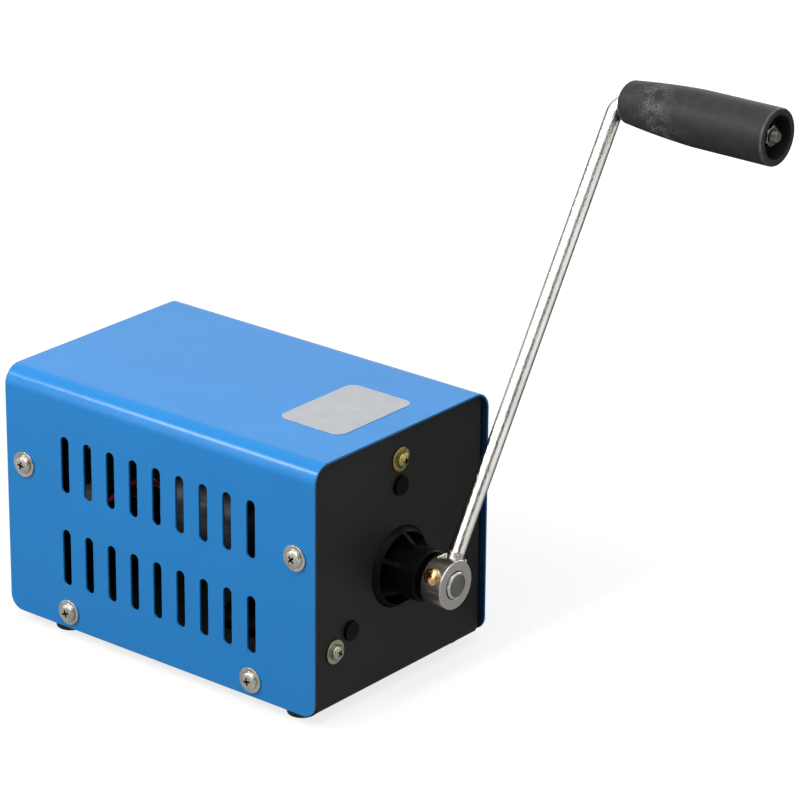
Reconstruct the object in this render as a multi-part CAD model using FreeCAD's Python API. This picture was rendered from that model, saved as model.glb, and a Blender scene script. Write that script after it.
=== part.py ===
"""Hand crank generator: a planetary gearbox and a motor in a folded metal case.

The crank turns the first planet carrier. The ring gear stands still, so each
stage turns its sun 1 + ring / sun times as fast, and the second sun is the
pinion on the motor's shaft. Millimetres. +Z is up, -Y is the crank side and
+X is to the right for someone who faces the crank. The origin is on the floor,
under the middle of the cover.
"""
import FreeCAD, Part
import math
import os

V = FreeCAD.Vector
ALONG_Y = V(0, 1, 0)

# Cover: one sheet folded to an inverted U
COVER_WIDTH = 96.0
COVER_LENGTH = 147.0
COVER_HEIGHT = 95.0
COVER_SHEET = 1.0
COVER_BEND = 7.0
FLAP_CORNER = 5.5
SLOTS_PER_ROW = 9
SLOT_PITCH = 11.1
SLOT_WIDTH = 4.0
SLOT_LENGTH = 22.0
UPPER_SLOTS_UP = 64.2
LOWER_SLOTS_UP = 27.9

# Cover screws, M4 with a wide low head
COVER_SCREW_RADIUS = 1.9
COVER_SCREW_REACH = 7.0
COVER_HEAD_RADIUS = 4.85
COVER_HEAD_HEIGHT = 2.3
COVER_FLANGE_HEIGHT = 0.7
COVER_DOME_RADIUS = 3.5
UPPER_SCREW_INSET = 8.8
UPPER_SCREW_UP = 59.3
LOWER_SCREW_INSET = 29.5
LOWER_SCREW_UP = 6.4

# Chassis: base, front panel and rear panel folded from one sheet
CHASSIS_SHEET = 1.2
CHASSIS_BEND = 2.0
CHASSIS_GAP = 0.15
PANEL_RECESS = 1.6
PANEL_FLANGE = 14.0
BASE_FLANGE = 11.0

# Feet and their M3 screws
FOOT_HEIGHT = 4.0
FOOT_RADIUS = 6.0
FOOT_TAPER = 0.7
FOOT_NUT_GAP = 3.0
FRONT_FOOT_INSET = 13.0
REAR_FOOT_INSET = 22.0
FOOT_RECESS_DEPTH = 2.2

# M3 hardware
M3_RADIUS = 1.5
M3_HOLE_GAP = 0.2
M3_THREAD_GAP = 0.04
M3_HEAD_RADIUS = 2.9
M3_HEAD_HEIGHT = 2.1
M3_NUT_ACROSS = 5.5
M3_NUT_HEIGHT = 2.4
M3_WASHER_RADIUS = 4.5
M3_WASHER_HEIGHT = 0.8

# Cross recess, as shares of a head's radius and height
RECESS_REACH = 0.55
RECESS_WIDTH = 0.2
RECESS_DEPTH = 0.6

# Gears, shared by both stages
MODULE = 1.0
RING_TEETH = 54
SUN_TEETH = 12
PLANETS = 3
PRESSURE_ANGLE = 25.0
ADDENDUM = 0.85
DEDENDUM = 1.1
BACKLASH = 0.12
GEAR_WIDTH = 12.0
GEAR_GAP = 0.5
PIN_RADIUS = 2.0
RUNNING_GAP = 0.06
PRESS_GAP = 0.01

# Gearbox housing
SHAFT_UP = 42.0
GEARBOX_RADIUS = 32.0
CAP_RADIUS = 34.5
CAP_FLANGE = 5.0
LUG_CIRCLE = 41.0
LUG_RADIUS = 5.2
LUG_NECK = 9.0
PEG_CIRCLE = 31.0
PEG_RADIUS = 3.5
PEG_PROUD = 1.2
CARRIER_RADIUS = 21.5
FIRST_CARRIER = 5.0
SECOND_CARRIER = 4.0
PLATE_THICKNESS = 5.0
PLATE_GAP = 0.9

# Nose of the gearbox cap
NOSE_HOLE_RADIUS = 15.2
NOSE_RIM_RADIUS = 14.9
NOSE_RIM_WALL = 1.5
NOSE_RADIUS = 9.75
NOSE_REACH = 14.3
NOSE_RIB_REACH = 7.6
NOSE_CORE_RADIUS = 8.5
NOSE_LIP = 1.0
RIB_COUNT = 6
RIB_THICKNESS = 1.7

# Crank shaft, bush and collar
SHAFT_RADIUS = 5.0
SHAFT_PROUD = 0.8
SHAFT_CHAMFER = 0.6
SHAFT_FLAT = 0.7
BUSH_RADIUS = 7.0
COLLAR_RADIUS = 9.0
COLLAR_LENGTH = 9.0
COLLAR_GAP = 2.3
COLLAR_CHAMFER = 0.5
SET_SCREW_RADIUS = 1.9
SET_HEAD_RADIUS = 2.9
SET_HEAD_HEIGHT = 1.8
SET_WASHER_RADIUS = 3.1
SET_WASHER_HEIGHT = 0.9

# Crank arm and grip
CRANK_ANGLE = 58.4
CRANK_THROW = 181.0
ROD_RADIUS = 3.0
ROD_BEND = 5.5
FOOT_OF_ARM = 10.0
FOOT_OF_ARM_THICKNESS = 4.2
FOOT_OF_ARM_WIDTH = 8.4
GRIP_LENGTH = 64.0
GRIP_INNER_RADIUS = 7.9
GRIP_WAIST_LENGTH = 31.0
GRIP_RADIUS = 10.3
GRIP_END_RADIUS = 10.4
GRIP_EDGE = 2.6
GRIP_MOUTH_RADIUS = 5.0
GRIP_MOUTH_DEPTH = 4.5
GRIP_RECESS_RADIUS = 7.9
GRIP_RECESS_DEPTH = 6.3
GRIP_GAP = 0.6
GRIP_PLAY = 0.2
STUD_RADIUS = 2.0
STUD_REACH = 6.3
GRIP_WASHER_RADIUS = 4.5
GRIP_WASHER_HEIGHT = 0.8
GRIP_NUT_ACROSS = 7.0
GRIP_NUT_HEIGHT = 3.2

# Motor
MOTOR_RADIUS = 18.0
MOTOR_LENGTH = 50.0
CAN_WALL = 1.4
MAGNET_THICKNESS = 4.0
MAGNET_ARC = 130.0
MOTOR_BOSS_RADIUS = 6.5
MOTOR_BOSS_LENGTH = 2.5
MOTOR_SCREW_CIRCLE = 12.5
MOTOR_SHAFT_RADIUS = 1.6
AIR_GAP = 0.5
CORE_LENGTH = 26.0
CORE_HUB_RADIUS = 5.0
CORE_POLES = 5
POLE_NECK = 3.0
POLE_TIP = 1.8
POLE_SPAN = 58.0
COIL_THICKNESS = 1.5
COIL_GAP = 0.1
COMMUTATOR_RADIUS = 4.5
COMMUTATOR_LENGTH = 7.0
COMMUTATOR_SLIT = 0.5
MOTOR_BUSH_RADIUS = 4.0
MOTOR_BUSH_LENGTH = 4.0
END_CAP_THICKNESS = 3.0
END_CAP_BOSS_RADIUS = 5.5
END_CAP_BOSS_LENGTH = 3.0
BRUSH_WIDTH = 4.0
BRUSH_DEPTH = 5.0
BRUSH_GAP = 0.1
TERMINAL_OUT = 9.5
TERMINAL_UP = 4.0
TERMINAL_WIDTH = 3.0
TERMINAL_SHEET = 0.6
TERMINAL_REACH = 6.0

# Output board behind the rear panel
BOARD_WIDTH = 62.0
BOARD_HEIGHT = 36.0
BOARD_THICKNESS = 1.6
BOARD_UP = 48.0
BOARD_HOLE_INSET = 5.0
SPACER_LENGTH = 12.0
SPACER_ACROSS = 5.5
BOARD_SCREW_REACH = 5.0
USB_ACROSS = -13.0
USB_WIDTH = 13.1
USB_HEIGHT = 5.7
USB_SHEET = 0.3
USB_TONGUE_WIDTH = 11.0
USB_TONGUE_THICKNESS = 1.9
USB_TONGUE_SETBACK = 1.0
DC_ACROSS = 14.0
DC_BODY = 10.0
DC_BARREL_RADIUS = 4.4
DC_BORE_RADIUS = 2.85
DC_BORE_DEPTH = 9.5
DC_PIN_RADIUS = 1.0
DC_PIN_SETBACK = 0.8
SOCKET_PROUD = 0.4
SOCKET_GAP = 0.25
CAPACITOR_RADIUS = 5.0
CAPACITOR_LENGTH = 16.0
COIL_CORE_RADIUS = 6.5
COIL_CORE_BORE = 3.0
COIL_CORE_HEIGHT = 6.0
CONNECTOR_WIDTH = 7.4
CONNECTOR_HEIGHT = 5.8
CONNECTOR_DEPTH = 7.0
CONNECTOR_INSET = 7.0
CONNECTOR_DOWN = 5.5
PARTS_GAP = 1.5
CHOKE_DOWN = 8.0
LEAD_RADIUS = 1.1
LEAD_SPREAD = 2.6
LEAD_RISE = 5.5
LEAD_STRAIGHT = 5.0
LEAD_LAP = 4.0

# Label on top of the cover, bare
LABEL_WIDTH = 41.0
LABEL_LENGTH = 28.8
LABEL_INSET = 26.4
LABEL_CORNER = 4.0
LABEL_THICKNESS = 0.2

# Heights
COVER_BOTTOM = FOOT_HEIGHT
COVER_TOP = COVER_BOTTOM + COVER_HEIGHT
CHASSIS_TOP = COVER_TOP - COVER_SHEET - CHASSIS_GAP
BASE_TOP = COVER_BOTTOM + CHASSIS_SHEET
SHAFT_Z = COVER_BOTTOM + SHAFT_UP
BOARD_Z = COVER_BOTTOM + BOARD_UP

# Widths
FLAP_INSIDE = COVER_WIDTH / 2 - COVER_SHEET
CHASSIS_SIDE = FLAP_INSIDE - CHASSIS_GAP
M3_NUT_CORNER = M3_NUT_ACROSS / 2 / math.cos(math.pi / 6)
FOOT_ACROSS = CHASSIS_SIDE - CHASSIS_SHEET - FOOT_NUT_GAP - M3_NUT_CORNER
CONNECTOR_ACROSS = CONNECTOR_INSET - BOARD_WIDTH / 2
CONNECTOR_UP = BOARD_Z - CONNECTOR_DOWN

# Lengths, from the crank side to the back
COVER_FRONT = -COVER_LENGTH / 2
COVER_BACK = COVER_LENGTH / 2
PANEL_FRONT = COVER_FRONT + PANEL_RECESS
PANEL_INSIDE = PANEL_FRONT + CHASSIS_SHEET
REAR_OUTSIDE = COVER_BACK - PANEL_RECESS
REAR_INSIDE = REAR_OUTSIDE - CHASSIS_SHEET
CAP_BACK = PANEL_INSIDE + CAP_FLANGE
NOSE_FRONT = PANEL_FRONT - NOSE_REACH
COLLAR_BACK = NOSE_FRONT - COLLAR_GAP
COLLAR_FRONT = COLLAR_BACK - COLLAR_LENGTH
SHAFT_END = COLLAR_FRONT - SHAFT_PROUD
ARM_Y = (COLLAR_FRONT + COLLAR_BACK) / 2

FIRST_CARRIER_FRONT = CAP_BACK + GEAR_GAP
FIRST_CARRIER_BACK = FIRST_CARRIER_FRONT + FIRST_CARRIER
FIRST_GEARS_FRONT = FIRST_CARRIER_BACK + GEAR_GAP
FIRST_GEARS_BACK = FIRST_GEARS_FRONT + GEAR_WIDTH
SECOND_CARRIER_FRONT = FIRST_GEARS_BACK + 2 * GEAR_GAP
SECOND_CARRIER_BACK = SECOND_CARRIER_FRONT + SECOND_CARRIER
SECOND_GEARS_FRONT = SECOND_CARRIER_BACK + GEAR_GAP
SECOND_GEARS_BACK = SECOND_GEARS_FRONT + GEAR_WIDTH
RING_BACK = SECOND_GEARS_BACK + GEAR_GAP + PLATE_GAP
PLATE_BACK = RING_BACK + PLATE_THICKNESS
CAN_BACK = PLATE_BACK + MOTOR_LENGTH
BOARD_BACK = REAR_INSIDE - SPACER_LENGTH
BOARD_FRONT = BOARD_BACK - BOARD_THICKNESS

# Gear sizes that follow from the tooth counts
PLANET_TEETH = (RING_TEETH - SUN_TEETH) // 2
ORBIT_RADIUS = MODULE * (SUN_TEETH + PLANET_TEETH) / 2
PLANET_ANGLES = [90.0 + 360.0 * i / PLANETS for i in range(PLANETS)]

# Grip places
CRANK_RAD = math.radians(CRANK_ANGLE)
GRIP_X = CRANK_THROW * math.cos(CRANK_RAD)
GRIP_Z = SHAFT_Z + CRANK_THROW * math.sin(CRANK_RAD)
GRIP_BACK = ARM_Y - ROD_RADIUS - GRIP_GAP
GRIP_FRONT = GRIP_BACK - GRIP_LENGTH
RECESS_FLOOR = GRIP_FRONT + GRIP_RECESS_DEPTH
ROD_SHOULDER = RECESS_FLOOR - GRIP_PLAY


# ---------------------------------------------------------------- helpers

def polar(radius, degrees):
    """The x and z of a point at this radius and angle about the shaft's axis."""
    angle = math.radians(degrees)
    return radius * math.cos(angle), SHAFT_Z + radius * math.sin(angle)


def rod_y(radius, front, back, x=0.0, z=SHAFT_Z):
    """A round bar along Y between two y values."""
    return Part.makeCylinder(radius, back - front, V(x, front, z), ALONG_Y)


def tube_y(outer, inner, front, back, x=0.0, z=SHAFT_Z):
    """A round bar along Y with a round hole through it."""
    return rod_y(outer, front, back, x, z).cut(rod_y(inner, front, back, x, z))


def block(x0, x1, y0, y1, z0, z1):
    """A box between two corners."""
    return Part.makeBox(x1 - x0, y1 - y0, z1 - z0, V(x0, y0, z0))


def turned_y(profile, x=0.0, z=SHAFT_Z):
    """A turned solid: a closed profile of (radius, y) points, spun round a Y axis."""
    points = [V(x + radius, y, z) for radius, y in profile]
    face = Part.Face(Part.makePolygon(points + points[:1]))
    return face.revolve(V(x, 0, z), ALONG_Y, 360)


def corner_arc(before, corner, after, radius):
    """The arc that rounds one corner of an outline."""
    back = (before - corner).normalize()
    ahead = (after - corner).normalize()
    half = back.getAngle(ahead) / 2
    middle = (back + ahead).normalize()
    start = corner + back * (radius / math.tan(half))
    end = corner + ahead * (radius / math.tan(half))
    through = corner + middle * (radius / math.sin(half) - radius)
    return Part.Arc(start, through, end).toShape()


def rounded_face(points, radii):
    """A flat face whose corners are rounded to the given radii; 0 keeps one sharp."""
    count = len(points)
    pieces = []
    for i, radius in enumerate(radii):
        if radius > 0:
            arc = corner_arc(points[i - 1], points[i], points[(i + 1) % count], radius)
            ends = [arc.Vertexes[0].Point, arc.Vertexes[-1].Point]
        else:
            arc = None
            ends = [points[i], points[i]]
        pieces.append((arc, ends))
    edges = []
    for i, (arc, ends) in enumerate(pieces):
        if arc:
            edges.append(arc)
        following = pieces[(i + 1) % count][1][0]
        edges.append(Part.makeLine(ends[1], following))
    return Part.Face(Part.Wire(edges))


def fold_outline(side, near, far, sheet, bend):
    """Corners and radii of a U folded from sheet, open at far, its bends at near.

    side is the half width of the U. The points are (across, along) pairs.
    """
    step = math.copysign(sheet, far - near)
    outside = [(-side, far), (-side, near), (side, near), (side, far)]
    inside = [(side - sheet, far), (side - sheet, near + step)]
    inside += [(sheet - side, near + step), (sheet - side, far)]
    inner = max(bend - sheet, 0.2)
    return outside + inside, [0, bend, bend, 0, 0, inner, inner, 0]


def cylinders_x(radius, places):
    """Bars right across the case along X, at (y, z) places, to bore both sides."""
    half = COVER_WIDTH / 2 + COVER_SHEET
    bars = [Part.makeCylinder(radius, 2 * half, V(-half, y, z), V(1, 0, 0)) for y, z in places]
    return Part.makeCompound(bars)


def aimed(shape, place, direction):
    """A shape made along +Z about the origin, turned to a direction and moved."""
    turn = FreeCAD.Rotation(V(0, 0, 1), direction)
    copy = shape.copy()
    copy.Placement = FreeCAD.Placement(place, turn)
    return copy


def cross_recess(head, height):
    """The cross-shaped cutter for a driver, sunk in the top of a head."""
    reach = head * RECESS_REACH
    side = head * RECESS_WIDTH / 2
    floor = height * (1 - RECESS_DEPTH)
    bar = block(-reach, reach, -side, side, floor, 2 * height)
    return bar.fuse(block(-side, side, -reach, reach, floor, 2 * height))


def turned_screw(shank, reach, rim, dome, height):
    """A turned screw: a head's rim points, then a domed top, over a plain shank."""
    profile = [(0, -reach), (shank, -reach), (shank, 0)] + rim
    points = [V(radius, 0, z) for radius, z in profile]
    edges = [Part.makeLine(a, b) for a, b in zip(points, points[1:])]
    low = points[-1]
    through = V(dome * 0.72, 0, low.z + (height - low.z) * 0.68)
    edges.append(Part.Arc(low, through, V(dome * 0.25, 0, height)).toShape())
    edges.append(Part.makeLine(V(dome * 0.25, 0, height), V(0, 0, height)))
    edges.append(Part.makeLine(V(0, 0, height), points[0]))
    face = Part.Face(Part.Wire(edges))
    body = face.revolve(V(0, 0, 0), V(0, 0, 1), 360)
    return body.cut(cross_recess(dome, height))


def pan_screw(shank, reach, head, height):
    """A domed screw: its head stands on z = 0 and its shank reaches down."""
    return turned_screw(shank, reach, [(head, 0), (head, height * 0.4)], head, height)


def flanged_screw(shank, reach, flange, flange_height, dome, height):
    """A domed screw whose head stands on a wide flat flange of its own."""
    rim = [(flange, 0), (flange, flange_height * 0.8), (dome, flange_height)]
    rim.append((dome, flange_height + height * 0.15))
    return turned_screw(shank, reach, rim, dome, height)


def washer(outer, inner, height):
    """A flat ring that stands on z = 0."""
    disc = Part.makeCylinder(outer, height)
    return disc.cut(Part.makeCylinder(inner, height))


def hex_nut(across, bore, height):
    """A hexagon nut that stands on z = 0, with its hole."""
    corner = across / 2 / math.cos(math.pi / 6)
    angles = [math.pi / 3 * i for i in range(7)]
    points = [V(corner * math.cos(a), corner * math.sin(a), 0) for a in angles]
    body = Part.Face(Part.makePolygon(points)).extrude(V(0, 0, height))
    return body.cut(Part.makeCylinder(bore, height))


def lug_places():
    """Where the three long gearbox screws stand round the shaft."""
    return [polar(LUG_CIRCLE, 90.0 + 120.0 * i) for i in range(3)]


def lugs(front, back):
    """Three eyes on necks that reach out of the gearbox to its screws."""
    eyes = None
    for i, (x, z) in enumerate(lug_places()):
        neck = block(0, LUG_CIRCLE, front, back, -LUG_NECK / 2, LUG_NECK / 2)
        neck.rotate(V(0, 0, 0), V(0, -1, 0), 90.0 + 120.0 * i)
        neck.translate(V(0, 0, SHAFT_Z))
        eye = rod_y(LUG_RADIUS, front, back, x, z).fuse(neck)
        eyes = eye if eyes is None else eyes.fuse(eye)
    return eyes


# ---------------------------------------------------------------- gears

def tooth_half_angle(teeth, radius, backlash):
    """Half of a tooth's angle at a radius, for involute flanks."""
    pitch = MODULE * teeth / 2
    slope = math.radians(PRESSURE_ANGLE)
    base = pitch * math.cos(slope)
    at_pitch = (math.pi * MODULE / 2 - backlash) / 2 / pitch
    here = math.acos(min(1.0, base / radius))
    return at_pitch + math.tan(slope) - slope - math.tan(here) + here


def gear_face(teeth, low, high, backlash, y, x=0.0, z=SHAFT_Z):
    """The outline of a gear from its root radius to its tip radius, as a face at y."""
    flank = [low, MODULE * teeth / 2, high]
    points = []
    for k in range(teeth):
        middle = math.pi / 2 + 2 * math.pi * k / teeth
        for radius in flank:
            angle = middle - tooth_half_angle(teeth, radius, backlash)
            points.append(V(x + radius * math.cos(angle), y, z + radius * math.sin(angle)))
        for radius in reversed(flank):
            angle = middle + tooth_half_angle(teeth, radius, backlash)
            points.append(V(x + radius * math.cos(angle), y, z + radius * math.sin(angle)))
    return Part.Face(Part.makePolygon(points + points[:1]))


def spur_gear(teeth, front, back, x=0.0, z=SHAFT_Z):
    """A solid external gear with a tooth at its top."""
    pitch = MODULE * teeth / 2
    face = gear_face(teeth, pitch - DEDENDUM, pitch + ADDENDUM, BACKLASH, front, x, z)
    return face.extrude(V(0, back - front, 0))


def planet_gear(index, front):
    """One planet. Its top tooth turns with its place, so it meshes at rest."""
    x, z = polar(ORBIT_RADIUS, PLANET_ANGLES[index])
    gear = spur_gear(PLANET_TEETH, front, front + GEAR_WIDTH, x, z)
    gear.rotate(V(x, 0, z), V(0, -1, 0), PLANET_ANGLES[index] - 90.0)
    return gear.cut(rod_y(PIN_RADIUS + RUNNING_GAP, front, front + GEAR_WIDTH, x, z))


def pins(disc_front, gears_back):
    """The three pins that the planets of one stage turn on."""
    places = [polar(ORBIT_RADIUS, angle) for angle in PLANET_ANGLES]
    rods = [rod_y(PIN_RADIUS, disc_front, gears_back + GEAR_GAP, x, z) for x, z in places]
    return Part.makeCompound(rods)


def carrier_disc(front, back):
    """A round disc with a hole for each planet pin."""
    disc = rod_y(CARRIER_RADIUS, front, back)
    for angle in PLANET_ANGLES:
        x, z = polar(ORBIT_RADIUS, angle)
        disc = disc.cut(rod_y(PIN_RADIUS + PRESS_GAP, front, back, x, z))
    return disc


def ring_gear():
    """The fixed internal gear of both stages, which is also the gearbox's body."""
    pitch = MODULE * RING_TEETH / 2
    body = rod_y(GEARBOX_RADIUS, CAP_BACK, RING_BACK).fuse(lugs(CAP_BACK, RING_BACK))
    face = gear_face(RING_TEETH, pitch - ADDENDUM, pitch + DEDENDUM, -BACKLASH, CAP_BACK)
    space = face.extrude(V(0, RING_BACK - CAP_BACK, 0))
    body = body.cut(space)
    for x, z in lug_places():
        body = body.cut(rod_y(M3_RADIUS + M3_THREAD_GAP, CAP_BACK, RING_BACK, x, z))
    return body.removeSplitter()


# ---------------------------------------------------------------- cover and chassis

def slot_cutter(y, z):
    """A round-ended upright bar right across the cover, which cuts one pair of vents."""
    half = COVER_WIDTH / 2 + COVER_SHEET
    low = z - SLOT_LENGTH / 2
    high = z + SLOT_LENGTH / 2
    side = SLOT_WIDTH / 2
    points = [V(-half, y - side, low), V(-half, y + side, low)]
    points += [V(-half, y + side, high), V(-half, y - side, high)]
    face = rounded_face(points, [side * 0.999] * 4)
    return face.extrude(V(2 * half, 0, 0))


def slot_places():
    """The (y, z) centres of every vent in one side."""
    first = -SLOT_PITCH * (SLOTS_PER_ROW - 1) / 2
    heights = [COVER_BOTTOM + LOWER_SLOTS_UP, COVER_BOTTOM + UPPER_SLOTS_UP]
    return [(first + SLOT_PITCH * i, z) for z in heights for i in range(SLOTS_PER_ROW)]


def cover_screw_places():
    """The (y, z) places of the four screws in one side of the cover."""
    upper = COVER_BOTTOM + UPPER_SCREW_UP
    lower = COVER_BOTTOM + LOWER_SCREW_UP
    places = [(COVER_FRONT + UPPER_SCREW_INSET, upper), (COVER_BACK - UPPER_SCREW_INSET, upper)]
    places += [(COVER_FRONT + LOWER_SCREW_INSET, lower), (COVER_BACK - LOWER_SCREW_INSET, lower)]
    return places


def cover_shell():
    """The folded cover, with its vents, screw holes and rounded lower corners."""
    points, radii = fold_outline(COVER_WIDTH / 2, COVER_TOP, COVER_BOTTOM, COVER_SHEET, COVER_BEND)
    section = rounded_face([V(x, COVER_FRONT, z) for x, z in points], radii)
    shell = section.extrude(V(0, COVER_LENGTH, 0))
    half = COVER_WIDTH / 2 + COVER_SHEET
    corners = [(COVER_FRONT, COVER_BOTTOM), (COVER_BACK, COVER_BOTTOM)]
    corners += [(COVER_BACK, COVER_TOP), (COVER_FRONT, COVER_TOP)]
    side = rounded_face([V(-half, y, z) for y, z in corners], [FLAP_CORNER, FLAP_CORNER, 0, 0])
    shell = shell.common(side.extrude(V(2 * half, 0, 0)))
    shell = shell.cut(Part.makeCompound([slot_cutter(y, z) for y, z in slot_places()]))
    hole = COVER_SCREW_RADIUS + M3_HOLE_GAP
    return shell.cut(cylinders_x(hole, cover_screw_places()))


def cover_screws():
    """Eight wide-headed screws that hold the cover to the chassis."""
    screw = flanged_screw(COVER_SCREW_RADIUS, COVER_SCREW_REACH, COVER_HEAD_RADIUS,
                          COVER_FLANGE_HEIGHT, COVER_DOME_RADIUS, COVER_HEAD_HEIGHT)
    screws = []
    for side in (-1, 1):
        for y, z in cover_screw_places():
            screws.append(aimed(screw, V(side * COVER_WIDTH / 2, y, z), V(side, 0, 0)))
    return Part.makeCompound(screws)


def top_label():
    """The thin bare label on the cover."""
    y = COVER_FRONT + LABEL_INSET
    x0, x1 = -LABEL_WIDTH / 2, LABEL_WIDTH / 2
    y0, y1 = y - LABEL_LENGTH / 2, y + LABEL_LENGTH / 2
    points = [V(x0, y0, COVER_TOP), V(x1, y0, COVER_TOP), V(x1, y1, COVER_TOP), V(x0, y1, COVER_TOP)]
    return rounded_face(points, [LABEL_CORNER] * 4).extrude(V(0, 0, LABEL_THICKNESS))


def foot_places():
    """The (x, y) places of the feet, whose nuts clear the base's flanges."""
    rows = [COVER_FRONT + FRONT_FOOT_INSET, COVER_BACK - REAR_FOOT_INSET]
    return [(x, y) for x in (-FOOT_ACROSS, FOOT_ACROSS) for y in rows]


def board_hole_places():
    """The (x, z) places of the spacers behind the rear panel."""
    across = BOARD_WIDTH / 2 - BOARD_HOLE_INSET
    up = BOARD_HEIGHT / 2 - BOARD_HOLE_INSET
    return [(x, BOARD_Z + z) for x in (-across, across) for z in (-up, up)]


def folded_chassis():
    """Base and panels in one strip, and the flanges along their sides."""
    edge = CHASSIS_SIDE - CHASSIS_BEND
    outline = (REAR_OUTSIDE, COVER_BOTTOM, CHASSIS_TOP, CHASSIS_SHEET, CHASSIS_BEND)
    points, radii = fold_outline(*outline)
    strip = rounded_face([V(-edge, y, z) for y, z in points], radii)
    body = strip.extrude(V(2 * edge, 0, 0))
    low = COVER_BOTTOM + CHASSIS_BEND
    front_edge = PANEL_FRONT + PANEL_FLANGE
    rear_edge = REAR_OUTSIDE - PANEL_FLANGE
    for near, far in ((PANEL_FRONT, front_edge), (REAR_OUTSIDE, rear_edge)):
        points, radii = fold_outline(CHASSIS_SIDE, near, far, CHASSIS_SHEET, CHASSIS_BEND)
        panel = rounded_face([V(x, y, low) for x, y in points], radii)
        body = body.fuse(panel.extrude(V(0, 0, CHASSIS_TOP - low)))
    start = front_edge + CHASSIS_BEND
    flange_top = COVER_BOTTOM + BASE_FLANGE
    points, radii = fold_outline(CHASSIS_SIDE, COVER_BOTTOM, flange_top, CHASSIS_SHEET, CHASSIS_BEND)
    base = rounded_face([V(x, start, z) for x, z in points], radii)
    return body.fuse(base.extrude(V(0, rear_edge - CHASSIS_BEND - start, 0)))


def chassis():
    """The folded chassis with rounded shoulders and every hole in it."""
    corner = COVER_BEND - COVER_SHEET - CHASSIS_GAP
    outline = [(-CHASSIS_SIDE, 0), (CHASSIS_SIDE, 0)]
    outline += [(CHASSIS_SIDE, CHASSIS_TOP), (-CHASSIS_SIDE, CHASSIS_TOP)]
    shoulders = rounded_face([V(x, COVER_FRONT, z) for x, z in outline], [0, 0, corner, corner])
    body = folded_chassis().common(shoulders.extrude(V(0, COVER_LENGTH, 0)))
    through = M3_RADIUS + M3_HOLE_GAP
    holes = [rod_y(NOSE_HOLE_RADIUS, PANEL_FRONT, PANEL_INSIDE)]
    holes += [rod_y(through, PANEL_FRONT, PANEL_INSIDE, x, z) for x, z in lug_places()]
    for angle in PLANET_ANGLES:
        x, z = polar(PEG_CIRCLE, angle)
        holes.append(rod_y(PEG_RADIUS + M3_HOLE_GAP, PANEL_FRONT, PANEL_INSIDE, x, z))
    holes += [rod_y(through, REAR_INSIDE, REAR_OUTSIDE, x, z) for x, z in board_hole_places()]
    dc_hole = DC_BARREL_RADIUS + SOCKET_GAP
    holes.append(rod_y(dc_hole, REAR_INSIDE, REAR_OUTSIDE, DC_ACROSS, BOARD_Z))
    half_width = USB_WIDTH / 2 + SOCKET_GAP
    half_height = USB_HEIGHT / 2 + SOCKET_GAP
    holes.append(block(USB_ACROSS - half_width, USB_ACROSS + half_width, REAR_INSIDE, REAR_OUTSIDE,
                       BOARD_Z - half_height, BOARD_Z + half_height))
    for x, y in foot_places():
        holes.append(Part.makeCylinder(through, CHASSIS_SHEET, V(x, y, COVER_BOTTOM)))
    holes.append(cylinders_x(COVER_SCREW_RADIUS + M3_THREAD_GAP, cover_screw_places()))
    return body.cut(Part.makeCompound(holes)).removeSplitter()


def rubber_feet():
    """Four tapered rubber feet, each with a recess for its screw's head."""
    foot = Part.makeCone(FOOT_RADIUS - FOOT_TAPER, FOOT_RADIUS, FOOT_HEIGHT)
    foot = foot.cut(Part.makeCylinder(M3_HEAD_RADIUS + FOOT_TAPER, FOOT_RECESS_DEPTH))
    foot = foot.cut(Part.makeCylinder(M3_RADIUS + M3_HOLE_GAP, FOOT_HEIGHT))
    return Part.makeCompound([aimed(foot, V(x, y, 0), V(0, 0, 1)) for x, y in foot_places()])


def foot_screws():
    """Screws that pull the feet against the base."""
    reach = FOOT_HEIGHT - FOOT_RECESS_DEPTH + CHASSIS_SHEET + M3_NUT_HEIGHT
    screw = pan_screw(M3_RADIUS, reach, M3_HEAD_RADIUS, FOOT_RECESS_DEPTH * 0.8)
    places = [V(x, y, FOOT_RECESS_DEPTH) for x, y in foot_places()]
    return Part.makeCompound([aimed(screw, place, V(0, 0, -1)) for place in places])


def foot_nuts():
    """Nuts on the base for the foot screws."""
    nut = hex_nut(M3_NUT_ACROSS, M3_RADIUS + M3_THREAD_GAP, M3_NUT_HEIGHT)
    places = [V(x, y, BASE_TOP) for x, y in foot_places()]
    return Part.makeCompound([aimed(nut, place, V(0, 0, 1)) for place in places])


# ---------------------------------------------------------------- gearbox

def nose_pockets():
    """The hollows between the nose's ribs, as one cutter."""
    front = PANEL_FRONT - NOSE_RIB_REACH
    floor = PANEL_INSIDE + CAP_FLANGE / 2
    outer = NOSE_RIM_RADIUS - NOSE_RIM_WALL
    hollow = tube_y(outer, NOSE_CORE_RADIUS, front, floor)
    for i in range(RIB_COUNT // 2):
        rib = block(-outer, outer, front, floor, -RIB_THICKNESS / 2, RIB_THICKNESS / 2)
        rib.rotate(V(0, 0, 0), V(0, -1, 0), 90.0 + 360.0 * i / RIB_COUNT)
        rib.translate(V(0, 0, SHAFT_Z))
        hollow = hollow.cut(rib)
    return hollow


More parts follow.
